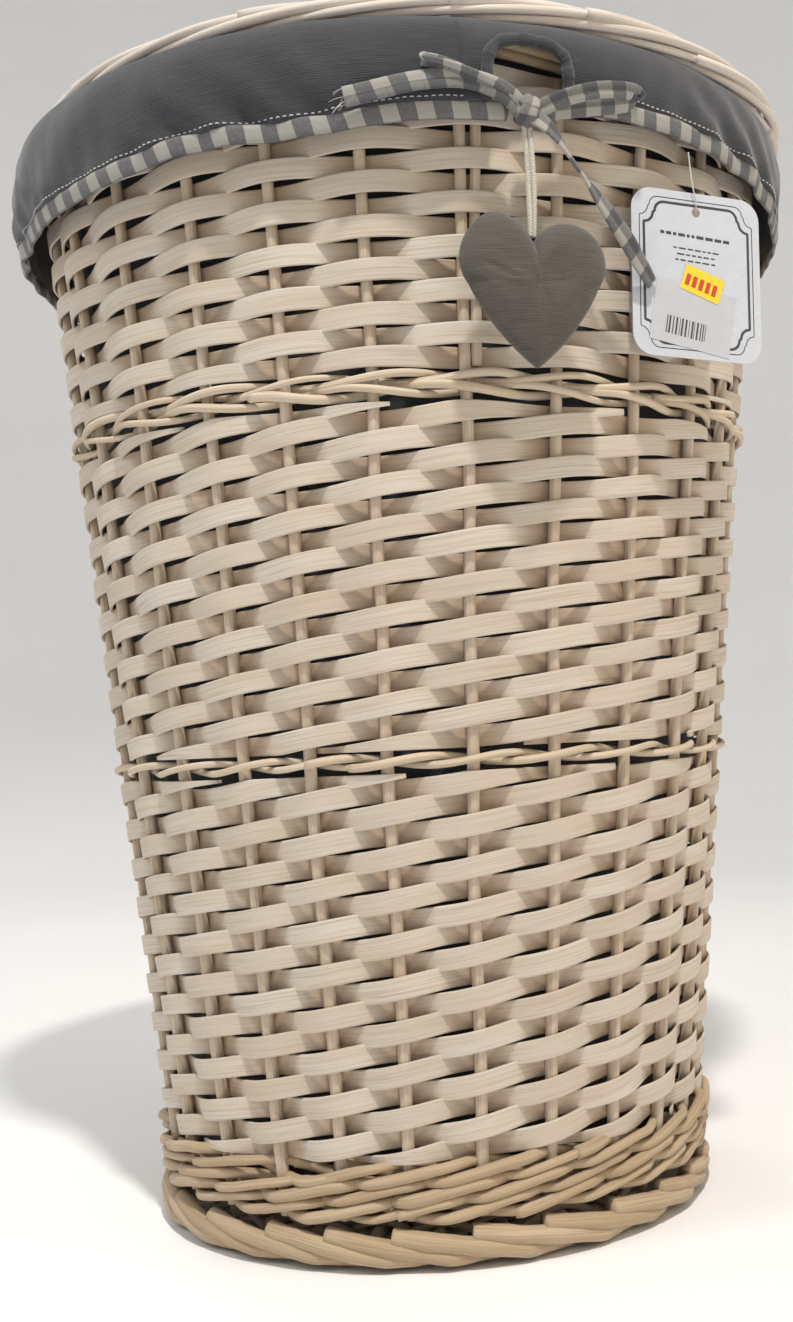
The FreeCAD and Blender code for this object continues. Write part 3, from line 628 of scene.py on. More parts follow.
def rolled_rods(name, radius, path, run, lean, node, seed):
    """A border of thick rods: each shows its cut end outside, then runs on below and inside the next ones.

    path rows: share of the way along, distance from the axis, height, both of the rod's middle.
    """
    rng = np.random.default_rng(seed)
    shares, radii, levels = np.transpose(path)
    share = np.linspace(0, 1, 40)
    parts = []
    for number in range(STAKES):
        begin = FIRST_STAKE + number * STEP - lean + rng.uniform(-1.2, 1.2)
        bearing = np.linspace(begin, begin + run * rng.uniform(0.96, 1.04), len(share))
        out = np.interp(share, shares, radii) + ripple(share, 0.9, 0.4 * MM, rng)
        height = np.interp(share, shares, levels) + ripple(share, 0.9, 0.4 * MM, rng)
        thick = radius * rng.uniform(0.9, 1.06)
        parts.append(worn_rod(woven_at(bearing, out, np.maximum(height, thick)), thick, 12, 0.12, rng))
    piece(name, parts, LOW_ROD, "basket", [node])


def borders():
    """The rolled border the basket stands on and the thinner one along its rim, under the cuff."""
    top = heights("foot_border")[1] - 4.2 * MM
    rolled_rods("foot_rods", 4.5 * MM, [(0, 148.5 * MM, top), (0.35, 150 * MM, top - 4.5 * MM),
                                        (0.7, 149 * MM, top - 10 * MM), (1, 141 * MM, top - 11 * MM)],
                36, 3, "foot_border", 21)
    top = heights("rim_border")[1] - 2.8 * MM
    rolled_rods("rim_rods", 2.8 * MM, [(0, 213.5 * MM, top), (1, 203 * MM, top - 7 * MM)],
                33, 2, "rim_border", 22)


# ---------------------------------------------------------------- the woven base and lid
def round_weave(name, centre, level, radius, spokes, rod_radius, pitch, dome, material, body, seed):
    """A woven disc: sticks crossing at the middle and fanning out, and rods woven in and out between them.

    dome is how far the middle stands above the edge.
    """
    rng = np.random.default_rng(seed)
    stick_radius, hub, stick_gap = 2.9 * MM, 30 * MM, 6.6 * MM

    def surface(ring):
        return level + dome * (1 - (ring / radius) ** 2)

    def stick(line):
        return sweep(line + centre, np.array((0.0, 0.0, 1.0)), oval(stick_radius, stick_radius, 9))

    sticks = []
    reach = np.linspace(20 * MM, radius + 4 * MM, 24)
    for number in range(spokes):
        bearing = number * 360 / spokes + ripple(reach, 0.2, 0.5, rng)
        sticks.append(stick(at(bearing, reach, surface(reach))))
    along = np.linspace(-hub, hub, 8)
    for layer in (0, 1):
        height = np.full(8, surface(0) + (layer - 0.5) * 2 * stick_radius)
        for side in (-1, 0, 1):
            across = np.full(8, side * stick_gap)
            flat = (along, across) if layer else (across, along)
            sticks.append(stick(np.stack([*flat, height], axis=-1)))
    bearing = np.arange(0, 360, 360 / spokes / 8)
    rows = []
    for number in range(int((radius - hub) / pitch) + 1):
        ring = hub + number * pitch
        side = np.cos(math.pi * (bearing * spokes / 360 + number))
        swing = (stick_radius + rod_radius * 0.8) * min(1.0, 0.35 + ring / (70 * MM))
        line = at(bearing, ring, surface(ring) + swing * side)
        rows.append(sweep(line + centre, outwards(line), oval(rod_radius, rod_radius, 7), closed=True))
    piece(name + "_spokes", sticks, material, body, [name + "_sticks"])
    piece(name + "_rods", rows, material, body, [name + "_weave"])


def base():
    """The woven base, seen from below and through the lowest gaps."""
    level = (heights("base_weave")[0] + heights("base_sticks")[1]) / 2 - 1 * MM
    round_weave("base", np.zeros(3), level, 127 * MM, STAKES, 2.1 * MM, 4.4 * MM, 0.0, ROD, "basket",
                31)


def lid():
    """The lid: a domed woven disc in a border of long rods that wind slowly round each other."""
    rng = np.random.default_rng(41)
    low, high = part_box("lid_border")
    centre = np.array(((low.x + high.x) / 2, (low.y + high.y) / 2, 0.0))
    rod_radius, wide = 2.85 * MM, 4.9 * MM
    tall = (high.z - low.z) / 2 - rod_radius
    middle_radius, middle_height = (high.x - low.x) / 2 - rod_radius - wide, (low.z + high.z) / 2
    run = 360 / BORDER_STRANDS
    parts = []
    for strand in range(BORDER_STRANDS):
        for number in range(BORDER_STRANDS):
            start = strand * 23 + number * run + rng.uniform(-5, 5)
            bearing = np.arange(start, start + run + 13, 1.5)
            share = np.linspace(0, 1, len(bearing))
            turn = TURN * strand / BORDER_STRANDS + np.radians(bearing) * 4
            lift = 1 + 0.22 * np.exp(-(share / 0.12) ** 2)
            radius = middle_radius + wide * lift * np.cos(turn) + ripple(share, 0.6, 0.4 * MM, rng)
            height = middle_height + tall * lift * np.sin(turn) + ripple(share, 0.6, 0.3 * MM, rng)
            line = at(bearing, radius, height) + centre
            thick = rod_radius * rng.uniform(0.9, 1.08) * (1 - 0.25 * share)
            parts.append(rod(line, thick * (1 + ripple(share, 0.3, 0.04, rng)), 10, centre))
    piece("lid_border_rods", parts, LID_ROD, "lid", ["lid_border"])
    level = middle_height + 1 * MM
    dome = heights("lid_weave")[1] - 7.5 * MM - level
    round_weave("lid", centre, level, middle_radius - 7 * MM, LID_SPOKES, 2.3 * MM, 4.9 * MM, dome, LID_ROD,
                "lid", 42)


# ---------------------------------------------------------------- the liner
HEM = np.array([(-165, 525), (-90, 524.8), (-60, 523.5), (-43, 525.0), (-27, 528.5), (-13, 527.0), (0, 531.5),
                (10.5, 533.0), (15.5, 533.5), (20.5, 538.0), (27, 541.0), (39, 539.5), (54, 536.0),
                (66, 530.0), (100, 525.5), (195, 525)])
BINDING_HEIGHT = 9.0 * MM
CUFF_SHAPE = np.array([(204.0, 584.5), (212.5, 585.5), (220.0, 581.8), (224.6, 573.5), (226.0, 562.0),
                       (225.4, 551.0), (223.4, 541.0), (221.0, 532.0), (219.8, 524.0)]) * MM
SLOT_PATH = np.array([(SLOT_HALF, 0.0), (5.25, 3.0), (5.1, 12.0), (5.0, 22.0), (4.6, 30.0), (3.4, 36.5),
                      (1.8, 39.3), (0.0, 40.0)])


def near_slot(bearing):
    """A bearing measured from the slot's middle, from -180 to 180."""
    return (bearing - SLOT_BEARING + 180) % 360 - 180


def hem_bottom(bearing):
    """The height of the hem's lower edge: it rides up towards the bow."""
    return np.interp(near_slot(bearing) + SLOT_BEARING, HEM[:, 0], HEM[:, 1]) * MM


def smoothed(values, times=6):
    for _ in range(times):
        values = (np.roll(values, 1) + 2 * values + np.roll(values, -1)) / 4
    return values


def cuff_profile(height):
    """The cuff's distance from the axis at a height, on its outer face."""
    fine = spline(CUFF_SHAPE, 200)
    order = np.argsort(fine[:, 1])
    return np.interp(height, fine[order, 1], fine[order, 0])


def slot_edge_point(share, side):
    """The slot's edge from its lower corner, share 0, to the crown, share 1: bearing and height."""
    path = spline(SLOT_PATH, 120)
    place = np.clip(share, 0, 1) * (len(path) - 1)
    offset, rise = (np.interp(place, np.arange(len(path)), column) for column in path.T)
    bottom = hem_bottom(SLOT_BEARING + side * SLOT_HALF) + BINDING_HEIGHT
    crown = heights("slot_edge")[1] - 1 * MM
    return SLOT_BEARING + side * offset, bottom + (crown - bottom) * rise / SLOT_PATH[-1, 1]


def cloth_waves(bearing, height, depth):
    """How far the cuff stands in or out at a depth above its hem.

    Slanting soft folds run all over it. Fine puckers and gathers are close to the hem's stitches.
    """
    def wave(per_turn, per_metre=0.0, shift=0.0):
        return np.sin(np.radians(bearing * per_turn) + height * per_metre + shift)

    slant = wave(9, 95) * wave(4.3, -60, 1.3)
    second = wave(21, -130, 0.7) * wave(3.1, shift=0.4)
    puckers = wave(76, shift=2 * wave(7))
    gathers = wave(41, 210, wave(5)) * np.clip(wave(6.3, shift=2.0) + 0.5, 0, 1.4)
    close = np.exp(-np.maximum(depth, 0) / (20 * MM))
    folds = (1.5 * slant + 0.9 * second) * (0.3 + 0.7 * close)
    return (folds + (0.3 * puckers + 1.5 * gathers) * close) * MM


def liner_wall_rows(bearing):
    """The liner's wall inside the basket, from its bottom up to just under the rim."""
    low, high = heights("liner_wall")[0], CUFF_SHAPE[0, 1] - 4 * MM
    rows = []
    for share in np.linspace(0, 1, 32):
        height = low + (high - low) * share
        folds = 1.6 * MM * np.abs(np.sin(np.radians(bearing * 17) + 5 * share)
                                  * np.sin(np.radians(bearing * 5) + 2 * share))
        fullness = min(1, 6 * share, 8 * (1 - share) + 0.1)
        rows.append(at(bearing, stake_radius(height) - 11.0 * MM - folds * fullness, height))
    return rows


def cuff_rows(bearing):
    """The cuff from the rim down to the hem, or to the slot's edge where that is higher."""
    near = near_slot(bearing)
    edge_bearing, edge_height = bearing.copy(), smoothed(hem_bottom(bearing)) + BINDING_HEIGHT - 1 * MM
    for side in (-1, 1):
        these = (np.abs(near) < SLOT_HALF) & ((near < 0) == (side < 0))
        edge_bearing[these], edge_height[these] = slot_edge_point(1 - np.abs(near[these]) / SLOT_HALF, side)
    shape, length = spline(CUFF_SHAPE, 160), np.linspace(0, 1, 160)
    past_crown = slice(12, None)
    order = np.argsort(-shape[past_crown, 1])
    end = np.interp(-edge_height, -shape[past_crown, 1][order], length[past_crown][order])
    rows = []
    for share in np.linspace(0, 1, 34):
        radius, height = (np.interp(end * share, length, column) for column in shape.T)
        here = bearing + (edge_bearing - bearing) * share ** 1.6
        waves = cloth_waves(here, height, height - edge_height) * np.clip(share * 4 - 0.6, 0, 1)
        rows.append(at(here, radius + waves, height))
    return rows


def liner():
    """The liner's wall and cuff: one sheet up the inside, over the rim and down the outside to the hem."""
    bearing = SLOT_BEARING + np.concatenate([np.arange(-8.0, 8.0, 0.16), np.arange(8.0, 352.0, 0.6)])
    rows = np.array(liner_wall_rows(bearing) + cuff_rows(bearing))
    made = piece("liner_sheet", [round_sheet(rows)], LINER, "basket",
                 ["liner_wall", "liner_cuff"])
    thicken(made, -1.0)


def liner_floor():
    """The liner's round bottom, lying on the base, with a few soft creases."""
    level = sum(heights("liner_floor")) / 2 + 0.2 * MM
    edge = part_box("liner_floor")[1].x - 1.2 * MM
    bearing = np.arange(0, 360, 3.0)
    rows = []
    for share in np.linspace(0.001, 1, 40):
        creases = np.sin(np.radians(bearing * 3) + 4 * share) * np.sin(7 * share + np.radians(bearing))
        rows.append(at(bearing, edge * share, level + 0.5 * MM * creases * (1 - share)))
    made = piece("liner_bottom", [round_sheet(np.array(rows))], LINER, "basket", ["liner_floor"])
    thicken(made, 0.0)


def hem():
    """The gingham binding along the cuff's edge, with a row of stitches just above it."""
    start, run = SLOT_BEARING + 1.6, 356.21
    bearing = np.arange(start, start + run, 0.5)
    middle = smoothed(hem_bottom(bearing), 8) + BINDING_HEIGHT / 2
    middle[[0, -1]] = hem_bottom(bearing[[0, -1]]) + BINDING_HEIGHT / 2
    line = at(bearing, cuff_profile(middle) + cloth_waves(bearing, middle, 0.0) * 0.7 + 0.3 * MM, middle)
    thick, half = 1.1 * MM, BINDING_HEIGHT / 2
    section = np.array([(0.3, -1), (0.9, -0.9), (1.15, -0.4), (1.15, 0.4), (0.9, 0.85), (0.1, 1), (-0.6, 1),
                        (-1, 0), (-0.6, -1)]) * (thick, half)
    binding = piece("gingham_hem", [sweep(line, outwards(line, 0.25), section)], CHECKS, "basket",
                    ["hem_binding"])
    along, dashes = distances(line), []
    for start in np.arange(2 * MM, along[-1] - 3 * MM, 3.3 * MM):
        where = np.interp(start + np.array([0, 0.55, 1.4, 1.95]) * MM, along, bearing)
        height = np.interp(where, bearing, middle) + half + 1.0 * MM
        lift = np.array([0.5, 1.2, 1.2, 0.5]) * MM
        dash = at(where, cuff_profile(height) + cloth_waves(where, height, 1 * MM) + lift, height)
        dashes.append(sweep(dash, outwards(dash), oval(0.28 * MM, 0.3 * MM, 5)))
    piece("hem_stitches", dashes, WHITE_THREAD, "basket")


def slot_binding():
    """The turned edge of the cuff round the slot: a soft roll of the same cloth."""
    share = np.linspace(0, 1, 60)
    left, right = slot_edge_point(share, -1), slot_edge_point(share[::-1], 1)
    bearing, height = (np.concatenate([a, b[1:]]) for a, b in zip(left, right))
    rng = np.random.default_rng(51)
    place = np.linspace(0, 1, len(bearing))
    line = at(bearing, cuff_profile(height) + 0.9 * MM + ripple(place, 0.12, 0.3 * MM, rng), height)
    sections = oval(2.3 * MM, 3.1 * MM, 14) * (1 + ripple(place, 0.1, 0.12, rng))[:, None, None]
    piece("slot_roll", [sweep(line, outwards(line), sections)], LINER, "basket", ["slot_edge"])


# ---------------------------------------------------------------- the bow
# Each tape's piece, the CAD node it stands for, its folded width in mm and its route from the knot.
# Route rows: bearing, distance from the axis in mm, height in mm, twist in degrees.
TAPES = (
    ("bow_tail_left", "ribbon_tail_left", 9.5,
     [(14.6, 226.0, 537.0, 0), (12.0, 229.5, 544.0, 12), (7.5, 230.0, 549.0, 5), (2.0, 229.8, 547.5, -4),
      (-3.0, 229.2, 543.5, 4), (-6.3, 229.0, 541.0, 8)]),
    ("bow_loop_left_tape", "bow_loop_left", 6.4,
     [(14.4, 226.5, 538.5, 10), (10.5, 230.5, 546.5, 40), (6.0, 232.0, 553.0, 60), (3.4, 231.5, 556.5, 88),
      (3.2, 229.0, 558.0, 130), (5.5, 227.6, 556.5, 165), (9.5, 227.2, 549.5, 170), (14.4, 226.0, 540.0, 176)]),
    ("bow_loop_right_tape", "bow_loop_right", 8.0,
     [(16.2, 227.0, 537.5, -12), (19.5, 231.0, 543.5, -30), (24.0, 232.5, 549.5, -22),
      (28.6, 231.5, 552.5, -30), (29.8, 229.2, 550.5, -100), (27.5, 227.9, 546.5, -168),
      (22.5, 227.6, 541.5, -172), (16.4, 226.2, 536.0, -176)]),
    ("bow_tail_right", "ribbon_tail_right", 8.5,
     [(15.8, 228.0, 534.5, 0), (18.0, 229.0, 527.0, 25), (21.0, 226.5, 513.0, 58), (24.5, 224.0, 499.0, 20),
      (28.5, 221.0, 484.0, -14), (31.0, 218.5, 474.5, -8), (33.6, 216.0, 465.5, 4)]),
)


def tape_line(route, samples):
    dense = spline(route, samples)
    return at(dense[:, 0], dense[:, 1] * MM, dense[:, 2] * MM), np.radians(dense[:, 3])


def tape(route, width):
    """A length of folded gingham tape, its two layers bulging apart on both sides of the fold's middle."""
    line, twist = tape_line(route, 90)
    w, t, fold = width / 2, 0.75 * MM, 0.5 * MM
    section = np.array([(t * 0.6, -w), (t, -w * 0.85), (t + fold, -w * 0.3), (t * 0.5, 0), (t + fold, w * 0.35),
                        (t, w * 0.85), (t * 0.6, w), (-t * 0.6, w), (-t, w * 0.8), (-t - fold * 0.5, 0),
                        (-t, -w * 0.8), (-t * 0.6, -w)])
    return sweep(line, outwards(line), section, twist=twist)


def bow():
    """The bow tied across the slot's mouth: knot, two loops and two tails of the same gingham tape."""
    for name, node, width, route in TAPES:
        made = piece(name, [tape(route, width * MM)], FOLDED_CHECKS, "basket", [node])
        length = float(distances(tape_line(route, 200)[0])[-1])
    _, _, width, route = TAPES[0]
    bearing, radius, middle, _ = route[-1]
    frayed_end(bearing, radius * MM, middle * MM, width * MM)
    knot()


def frayed_end(bearing, radius, middle, width):
    """Loose threads at the cut end of the left tail, each drooping its own way."""
    rng = np.random.default_rng(71)
    share = np.linspace(0, 1, 10)
    threads = []
    for _ in range(9):
        start = middle + rng.uniform(-0.5, 0.5) * width
        reach, droop = rng.uniform(0.5, 1.9), rng.uniform(0.5, 6.0) * MM
        line = at(bearing + 0.3 - (reach + 0.3) * share, radius + rng.uniform(-0.6, 0.6) * MM,
                  start - droop * share ** 2)
        threads.append(sweep(line, outwards(line), oval(0.1 * MM, 0.1 * MM, 5)))
    piece("tail_frays", threads, COTTON, "basket")


def knot():
    """The bow's knot: tape wrapped tight round the slot's two ends, with a plump core."""
    low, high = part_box("bow_knot")
    centre = np.array((low + high) / 2)
    out = unit(np.array((centre[0], centre[1], 0.0)))
    side, up = np.array((-out[1], out[0], 0.0)), np.array((0.0, 0.0, 1.0))
    angle = np.linspace(0, TURN, 60, endpoint=False)
    parts = []
    for lean, reach, width in ((0.35, 6.3 * MM, 8.5 * MM), (-0.5, 5.8 * MM, 6.5 * MM)):
        ring = (np.outer(np.cos(angle) * (reach - 0.9 * MM), out)
                + np.outer(np.sin(angle) * reach, up * math.cos(lean) + side * math.sin(lean)))
        section = np.array([(0.2, -1), (1.1, -0.8), (1.7, -0.35), (1.2, 0), (1.7, 0.35), (1.1, 0.8), (0.2, 1),
                            (-1, 0)]) * (0.9 * MM, width / 2)
        parts.append(sweep(centre + ring, unit(ring), section, closed=True))
    across = np.cos(np.linspace(math.pi, 0, 14))
    plump = np.sqrt(np.maximum(1 - across ** 2, 0.01))
    core = centre + np.outer(across * 7.0 * MM, side)
    parts.append(sweep(core, out, oval(4.8 * MM, 5.4 * MM, 16) * plump[:, None, None]))
    piece("bow_knot_tape", parts, FOLDED_CHECKS, "basket", ["bow_knot"])


# ---------------------------------------------------------------- the heart on its cord
def route_line(points):
    """Points along the smooth NURBS line that a cord's route makes."""
    curve = bpy.data.curves.new("route", "CURVE")
    curve.dimensions = "3D"
    curve.resolution_u = 24
    route = curve.splines.new("NURBS")
    route.points.add(len(points) - 1)
    for control, point in zip(route.points, points):
        control.co = (*point, 1.0)
    route.order_u = 3
    route.use_endpoint_u = True
    holder = bpy.data.objects.new("route", curve)
    mesh = bpy.data.meshes.new_from_object(holder)
    line = np.array([tuple(v.co) for v in mesh.vertices])
    bpy.data.meshes.remove(mesh)
    bpy.data.curves.remove(curve)
    return line


def heart_cord():
    """The cotton cord that the heart hangs by: two strands lying side by side with a lazy twist."""
    points = [at(BOW_BEARING, 224.0 * MM, 531.5 * MM), at(BOW_BEARING + 0.35, 224.8 * MM, 504.0 * MM),
              at(BOW_BEARING, 224.0 * MM, 477.4 * MM)]
    line = evenly(route_line(points), 120)
    share = np.linspace(0, 1, len(line))
    strands = []
    for strand in (0, 1):
        centre = line + aside(line, math.pi * strand + 0.15 + 0.5 * np.sin(5 * share), 1.2 * MM)
        for ply in range(3):
            path = evenly(centre + aside(line, TURN * (ply / 3 + share * 13), 0.58 * MM), 400)
            strands.append(sweep(path, outwards(path), oval(0.78 * MM, 0.78 * MM, 6)))
    made = piece("heart_cord_strands", strands, COTTON, "heart_cord", ["heart_cord"])


HEART_DROP = 50.0 * MM


def heart_outline(count):
    """The heart's outline in its own plane: two round lobes, a cleft between them and a point below."""
    lobe, spread, sag = 18.6 * MM, 16.4 * MM, 3.0 * MM
    reach = math.hypot(spread, HEART_DROP)
    lean = math.atan2(spread, HEART_DROP) + math.asin(lobe / reach)
    touch = math.sqrt(reach ** 2 - lobe ** 2)
    right = [(0.0, -HEART_DROP)]
    for share in np.linspace(0.08, 1, 14):
        bulge = sag * math.sin(math.pi * share) ** 0.8
        right.append((share * touch * math.sin(lean) + bulge * math.cos(lean),
                      -HEART_DROP + share * touch * math.cos(lean) - bulge * math.sin(lean)))
    start = math.atan2(right[-1][1], right[-1][0] - spread)
    finish = math.pi - math.acos((spread - 2.2 * MM) / lobe)
    for angle in np.linspace(start, finish, 22)[1:]:
        right.append((spread + lobe * math.cos(angle), lobe * math.sin(angle)))
    right.append((0.0, right[-1][1] - 4.0 * MM))
    left = [(-x, y) for x, y in right[1:-1]][::-1]
    outline = evenly(np.array(right + left + [right[0]]), count, endpoint=False)
    left_lobe = np.sin(math.pi * np.clip(-outline[:, 0] / (36 * MM), 0, 1))
    outline[:, 1] += 4.0 * MM * left_lobe * np.clip(outline[:, 1] / (18 * MM), 0, 1)
    return outline


def pillow(outline, centre, plump, rings):
    """A flat outline swollen to both sides: points across, up and outwards, and faces. The seam is shared."""
    count = len(outline)
    points, faces = [], []
    for side in (0, 1):
        for share in 1 - np.linspace(0, 0.97, rings) ** 1.35:
            depth = (1 - 2 * side) * plump * max(0.0, 1 - share ** 2.6) ** 0.6
            points.append(np.c_[centre + (outline - centre) * share, np.full(count, depth)])
        own = (side * rings + np.arange(rings)) * count
        first = np.where(np.arange(rings) == 0, 0, own)
        for ring in range(rings - 1):
            for corner in range(count):
                after = (corner + 1) % count
                a, b = first[ring] + corner, first[ring] + after
                c, d = first[ring + 1] + after, first[ring + 1] + corner
                faces.append((a, b, c, d) if side else (a, d, c, b))
        inner = tuple(first[-1] + corner for corner in range(count))
        faces.append(inner if side else inner[::-1])
    return np.concatenate(points), faces


def heart():
    """The stuffed heart: two cloth faces sewn round the edge and blown up against their seam."""
    facing = math.radians(12.2)
    right = np.array((math.cos(facing), math.sin(facing), 0.0))
    out = np.array((math.sin(facing), -math.cos(facing), 0.0))
    up = np.array((0.0, 0.0, 1.0))
    origin = at(BOW_BEARING, 224.0 * MM, heights("heart")[0] + HEART_DROP)
    flat, faces = pillow(heart_outline(150), np.array((0.0, -12.0 * MM)), 9.6 * MM, 16)
    made = laid("heart_cushion", origin + flat @ np.array((right, up, out)), faces, HEART)
    inflate(made, 5.0 * MM)
    points = np.array([tuple(v.co) for v in made.data.vertices]) - origin
    keep(made, "grain", np.stack([points @ right, points @ up, np.zeros(len(points))], axis=-1))
    keep(made, "tone", np.full(len(points), 0.4))
    smoother = made.modifiers.new("smooth", "SUBSURF")
    smoother.levels = smoother.render_levels = 1
    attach(made, "heart")
    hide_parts("heart")


def inflate(made, limit):
    """Blow a cushion up as cloth under pressure and keep the result, within limit of where each point began."""
    scene = bpy.context.scene
    bpy.context.view_layer.objects.active = made
    for other in bpy.context.selected_objects:
        other.select_set(False)
    made.select_set(True)
    before = np.array([tuple(v.co) for v in made.data.vertices])
    sewn = made.modifiers.new("cloth", "CLOTH")
    sewn.settings.use_pressure = True
    sewn.settings.uniform_pressure_force = 4.0
    sewn.settings.effector_weights.gravity = 0.0
    sewn.settings.quality = 6
    sewn.settings.mass = 0.2
    sewn.settings.tension_stiffness = 25
    sewn.settings.bending_stiffness = 0.3
    sewn.settings.shrink_min = -0.02
    sewn.point_cache.frame_start, sewn.point_cache.frame_end = 1, 20
    for number in range(1, 21):
        scene.frame_set(number)
    bpy.ops.object.modifier_apply(modifier=sewn.name)
    moved = np.array([tuple(v.co) for v in made.data.vertices]) - before
    reach = np.linalg.norm(moved, axis=1, keepdims=True)
    capped = before + moved * np.minimum(1, limit / np.maximum(reach, 1e-9))
    made.data.vertices.foreach_set("co", capped.astype(np.float32).ravel())
    scene.frame_set(1)


# ---------------------------------------------------------------- the swing tag
TAG_MIDDLE = np.array((144.3, -168.8, 472.0)) * MM
TAG_FACING, TAG_ROLL = math.radians(17.0), math.radians(-2.3)
TAG_SIZE = (71.0 * MM, 85.0 * MM)
CARD_FACE = 0.3 * MM
LABEL_FACE = 0.6 * MM
STICKER_FACE = 0.9 * MM
INK = 0.04 * MM


def on_tag(x, y, z):
    """A point of the tag's own frame, right, up and outwards from its middle, in the basket's frame."""
    right = np.array((math.cos(TAG_FACING), math.sin(TAG_FACING), 0.0))
    out = np.array((math.sin(TAG_FACING), -math.cos(TAG_FACING), 0.0))
    up = np.array((0.0, 0.0, 1.0))
    cos, sin = math.cos(TAG_ROLL), math.sin(TAG_ROLL)
    x, y, z = np.broadcast_arrays(*(np.asarray(v, float)[..., None] for v in (x, y, z)))
    return TAG_MIDDLE + (x * cos - y * sin) * right + (x * sin + y * cos) * up + z * out


def printed_line(route, width):
    """A printed line on the card: a flat closed band just above it."""
    line = on_tag(route[:, 0], route[:, 1], CARD_FACE)
    w, t = width / 2, 0.05 * MM
    section = np.array([(0, -w), (t, -w), (t, w), (0, w)])
    return sweep(line, on_tag(0, 0, 1) - TAG_MIDDLE, section, closed=True)


def frame_route(inset, notch):
    """A rectangle inset from the card's edge, each corner stepping inwards in two quarter curves."""
    w, h = TAG_SIZE[0] / 2 - inset, TAG_SIZE[1] / 2 - inset
    turn = np.linspace(0, math.pi / 2, 8)
    quarter, rise = 0.45 * notch * np.sin(turn), 0.45 * notch * (1 - np.cos(turn))
    corner = [*zip(w - notch + quarter, rise - h), *zip(w - 0.45 * notch + rise, 0.55 * notch + quarter - h)]
    route = []
    for right, down in ((1, 1), (1, -1), (-1, -1), (-1, 1)):
        turned = [(x * right, y * down) for x, y in corner]
        route += turned if right * down > 0 else turned[::-1]
    return evenly(np.array(route), 260)


def turned_by(x, y, degrees):
    cos, sin = math.cos(math.radians(degrees)), math.sin(math.radians(degrees))
    return x * cos - y * sin, x * sin + y * cos


def plate(corner, size, roll, lift, thickness=INK):
    """A thin flat rectangle on the tag, from its lower left corner, turned by roll."""
    turned = [turned_by(x, y, roll) for x, y in ((0, 0), (size[0], 0), size, (0, size[1]))]
    points = np.array([on_tag(corner[0] + x, corner[1] + y, z)
                       for z in (lift, lift + thickness) for x, y in turned])
    faces = [(3, 2, 1, 0), (4, 5, 6, 7)] + [(a, (a + 1) % 4, 4 + (a + 1) % 4, 4 + a) for a in range(4)]
    return points, faces, np.zeros_like(points)


def tag():
    """The tag's print and bars. The card, label and sticker are the CAD's own pieces, with their materials."""
    for node, material in (("swing_tag", CARD), ("tag_label", LABEL), ("tag_sticker", STICKER)):
        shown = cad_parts[node]
        if not shown.material_slots:
            shown.data.materials.append(material)
        for held in shown.material_slots:
            held.link = "OBJECT"
            held.material = material
    lines = [printed_line(frame_route(4.2 * MM, 10 * MM), 0.5 * MM),
             printed_line(frame_route(6.6 * MM, 11 * MM), 1.4 * MM)]
    piece("tag_frame_print", lines, PRINT, "tag", smooth=False)
    rng = np.random.default_rng(61)
    roll, start, bars = -9.0, 8.0 * MM, []
    while start < 30 * MM:
        width = rng.choice([0.35, 0.6, 0.95]) * MM
        x, y = turned_by(start, 5 * MM, roll)
        bars.append(plate((x - 27 * MM, y - 34 * MM), (width, 9 * MM), roll, LABEL_FACE))
        start += width + rng.choice([0.4, 0.7, 1.1]) * MM
    piece("label_bars", bars, PRINT, "tag", smooth=False)
    words = []
    for level, reach, tall in ((19, 20, 1.6), (12.5, 13, 0.8), (9.5, 11, 0.8), (6.5, 12, 0.8)):
        place = -reach
        while place < reach - 2:
            width = rng.uniform(1.6, 4.2)
            size = (min(width, reach - place) * MM, tall * MM)
            words.append(plate((place * MM, (level - place * 0.04) * MM), size, -2.3, CARD_FACE, 0.05 * MM))
            place += width + 1.0
    piece("tag_grey_bars", words, PRINT, "tag", smooth=False)
    marks = [plate(((3.6 * k - 7.5) * MM, (-5.0 - 1.15 * k) * MM), (2.4 * MM, 6.0 * MM), -18, STICKER_FACE)
             for k in range(5)]
    piece("sticker_marks", marks, STICKER_BARS, "tag", smooth=False)


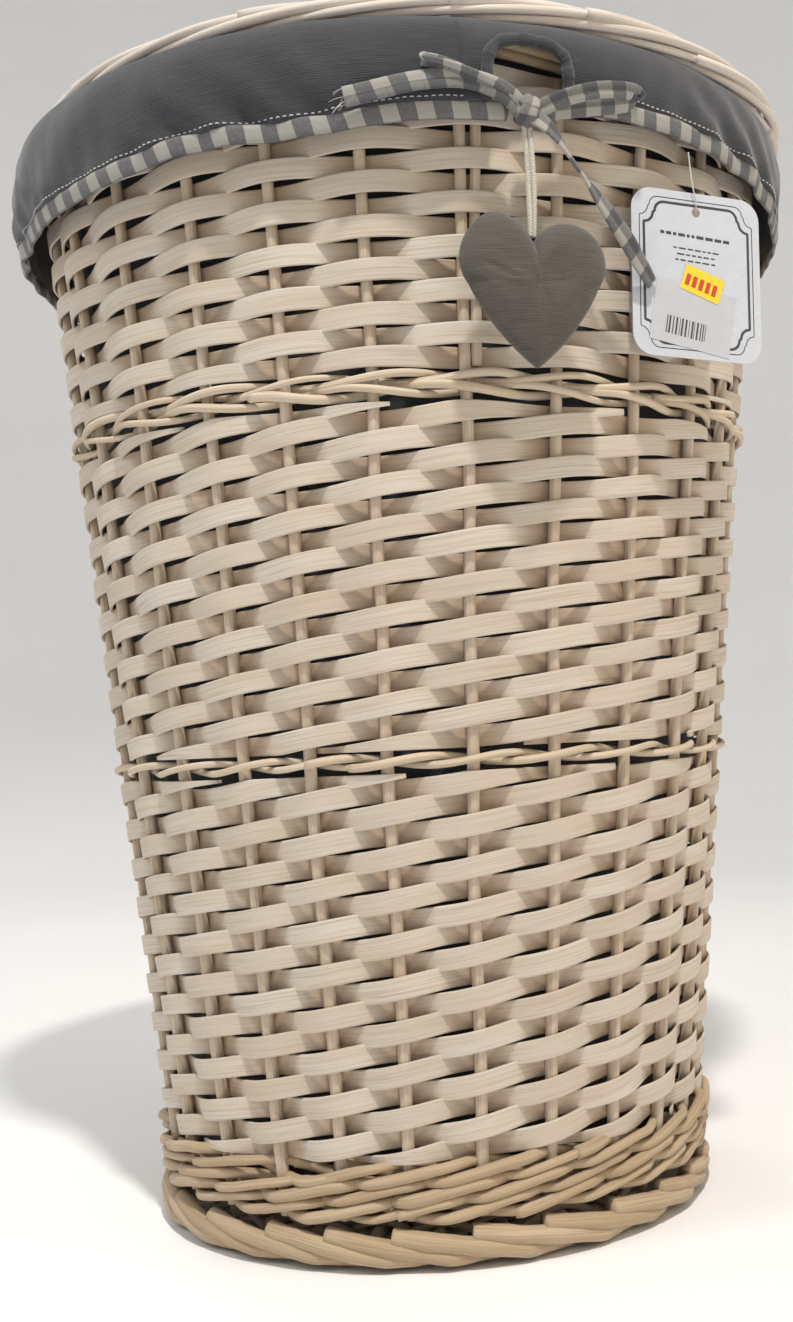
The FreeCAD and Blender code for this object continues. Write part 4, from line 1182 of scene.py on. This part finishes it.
def tag_thread():
    """The thread that the tag hangs by, from the hem down to the hole in the card."""
    hole = 32.5 * MM
    steps = ((-4.2, 30.4, 1.7), (-3.9, 21.4, 2.5), (-2.9, 11.6, 3.1), (-0.9, 4.6, 2.9), (0.0, 0.0, 0.2))
    points = [on_tag(x * MM, hole + y * MM, z * MM) for x, y, z in steps]
    line = evenly(route_line(points), 160)
    share = np.linspace(0, 1, len(line))
    plies = []
    for ply in (0, 1):
        path = line + aside(line, TURN * (ply / 2 + share * 11), 0.2 * MM)
        plies.append(sweep(path, outwards(path), oval(0.25 * MM, 0.25 * MM, 6)))
    made = piece("tag_thread_plies", plies, WHITE_THREAD, "tag", ["tag_thread"])


# ---------------------------------------------------------------- stage and light
# Each light's name, place, width, power and colour.
LIGHTS = (("key", (0.15, -1.15, 2.1), 0.12, 36, (1.0, 0.96, 0.91)),
          ("cool", (-1.4, -0.8, 1.6), 0.6, 7, (0.86, 0.92, 1.0)),
          ("warm", (1.5, -0.7, 0.7), 0.8, 4, (1.0, 0.82, 0.52)),
          ("back", (-0.8, 1.6, 1.6), 1.2, 10, (1.0, 0.97, 0.92)))


def stage():
    """A pale floor that sweeps up all round, soft light from above in front and a warm one from the right."""
    flat, edge, top = 1.7, 3.4, 3.6
    profile = [(0.001, 0.0), (flat, 0.0)]
    for angle in np.linspace(0, math.pi / 2, 16)[1:]:
        profile.append((flat + (edge - flat) * math.sin(angle), (edge - flat) * (1 - math.cos(angle))))
    profile.append((edge, top))
    bearing = np.arange(0, 360, 5.0)
    points, faces, _ = round_sheet(np.array([at(bearing, radius, height) for radius, height in profile]))
    laid("floor", points, faces, plain_ground())
    world = bpy.data.worlds.new("studio")
    world.use_nodes = True
    background = world.node_tree.nodes["Background"]
    background.inputs["Color"].default_value = (1.0, 0.99, 0.97, 1.0)
    background.inputs["Strength"].default_value = 0.36
    bpy.context.scene.world = world
    aim = Vector((0, 0, 0.32))
    for name, place, width, power, tint in LIGHTS:
        data = bpy.data.lights.new(name, "AREA")
        data.shape, data.size = "DISK", width
        data.energy, data.color = power, tint
        light = bpy.data.objects.new(name, data)
        light.location = place
        light.rotation_euler = (aim - Vector(place)).to_track_quat("-Z", "Y").to_euler()
        bpy.context.scene.collection.objects.link(light)
    bpy.context.scene.view_settings.view_transform = "Standard"


def build():
    camera()
    stage()
    for name, starts, nodes, seed in (("lower", 10, 5, 1), ("middle", 10, 4, 2), ("upper", 2, 4, 3)):
        weave_zone(name, starts, nodes, seed)
    for made in (bands, wale, stakes, borders, base, liner, liner_floor, hem, slot_binding, bow, heart_cord,
                 heart, tag, tag_thread, lid):
        made()


build()
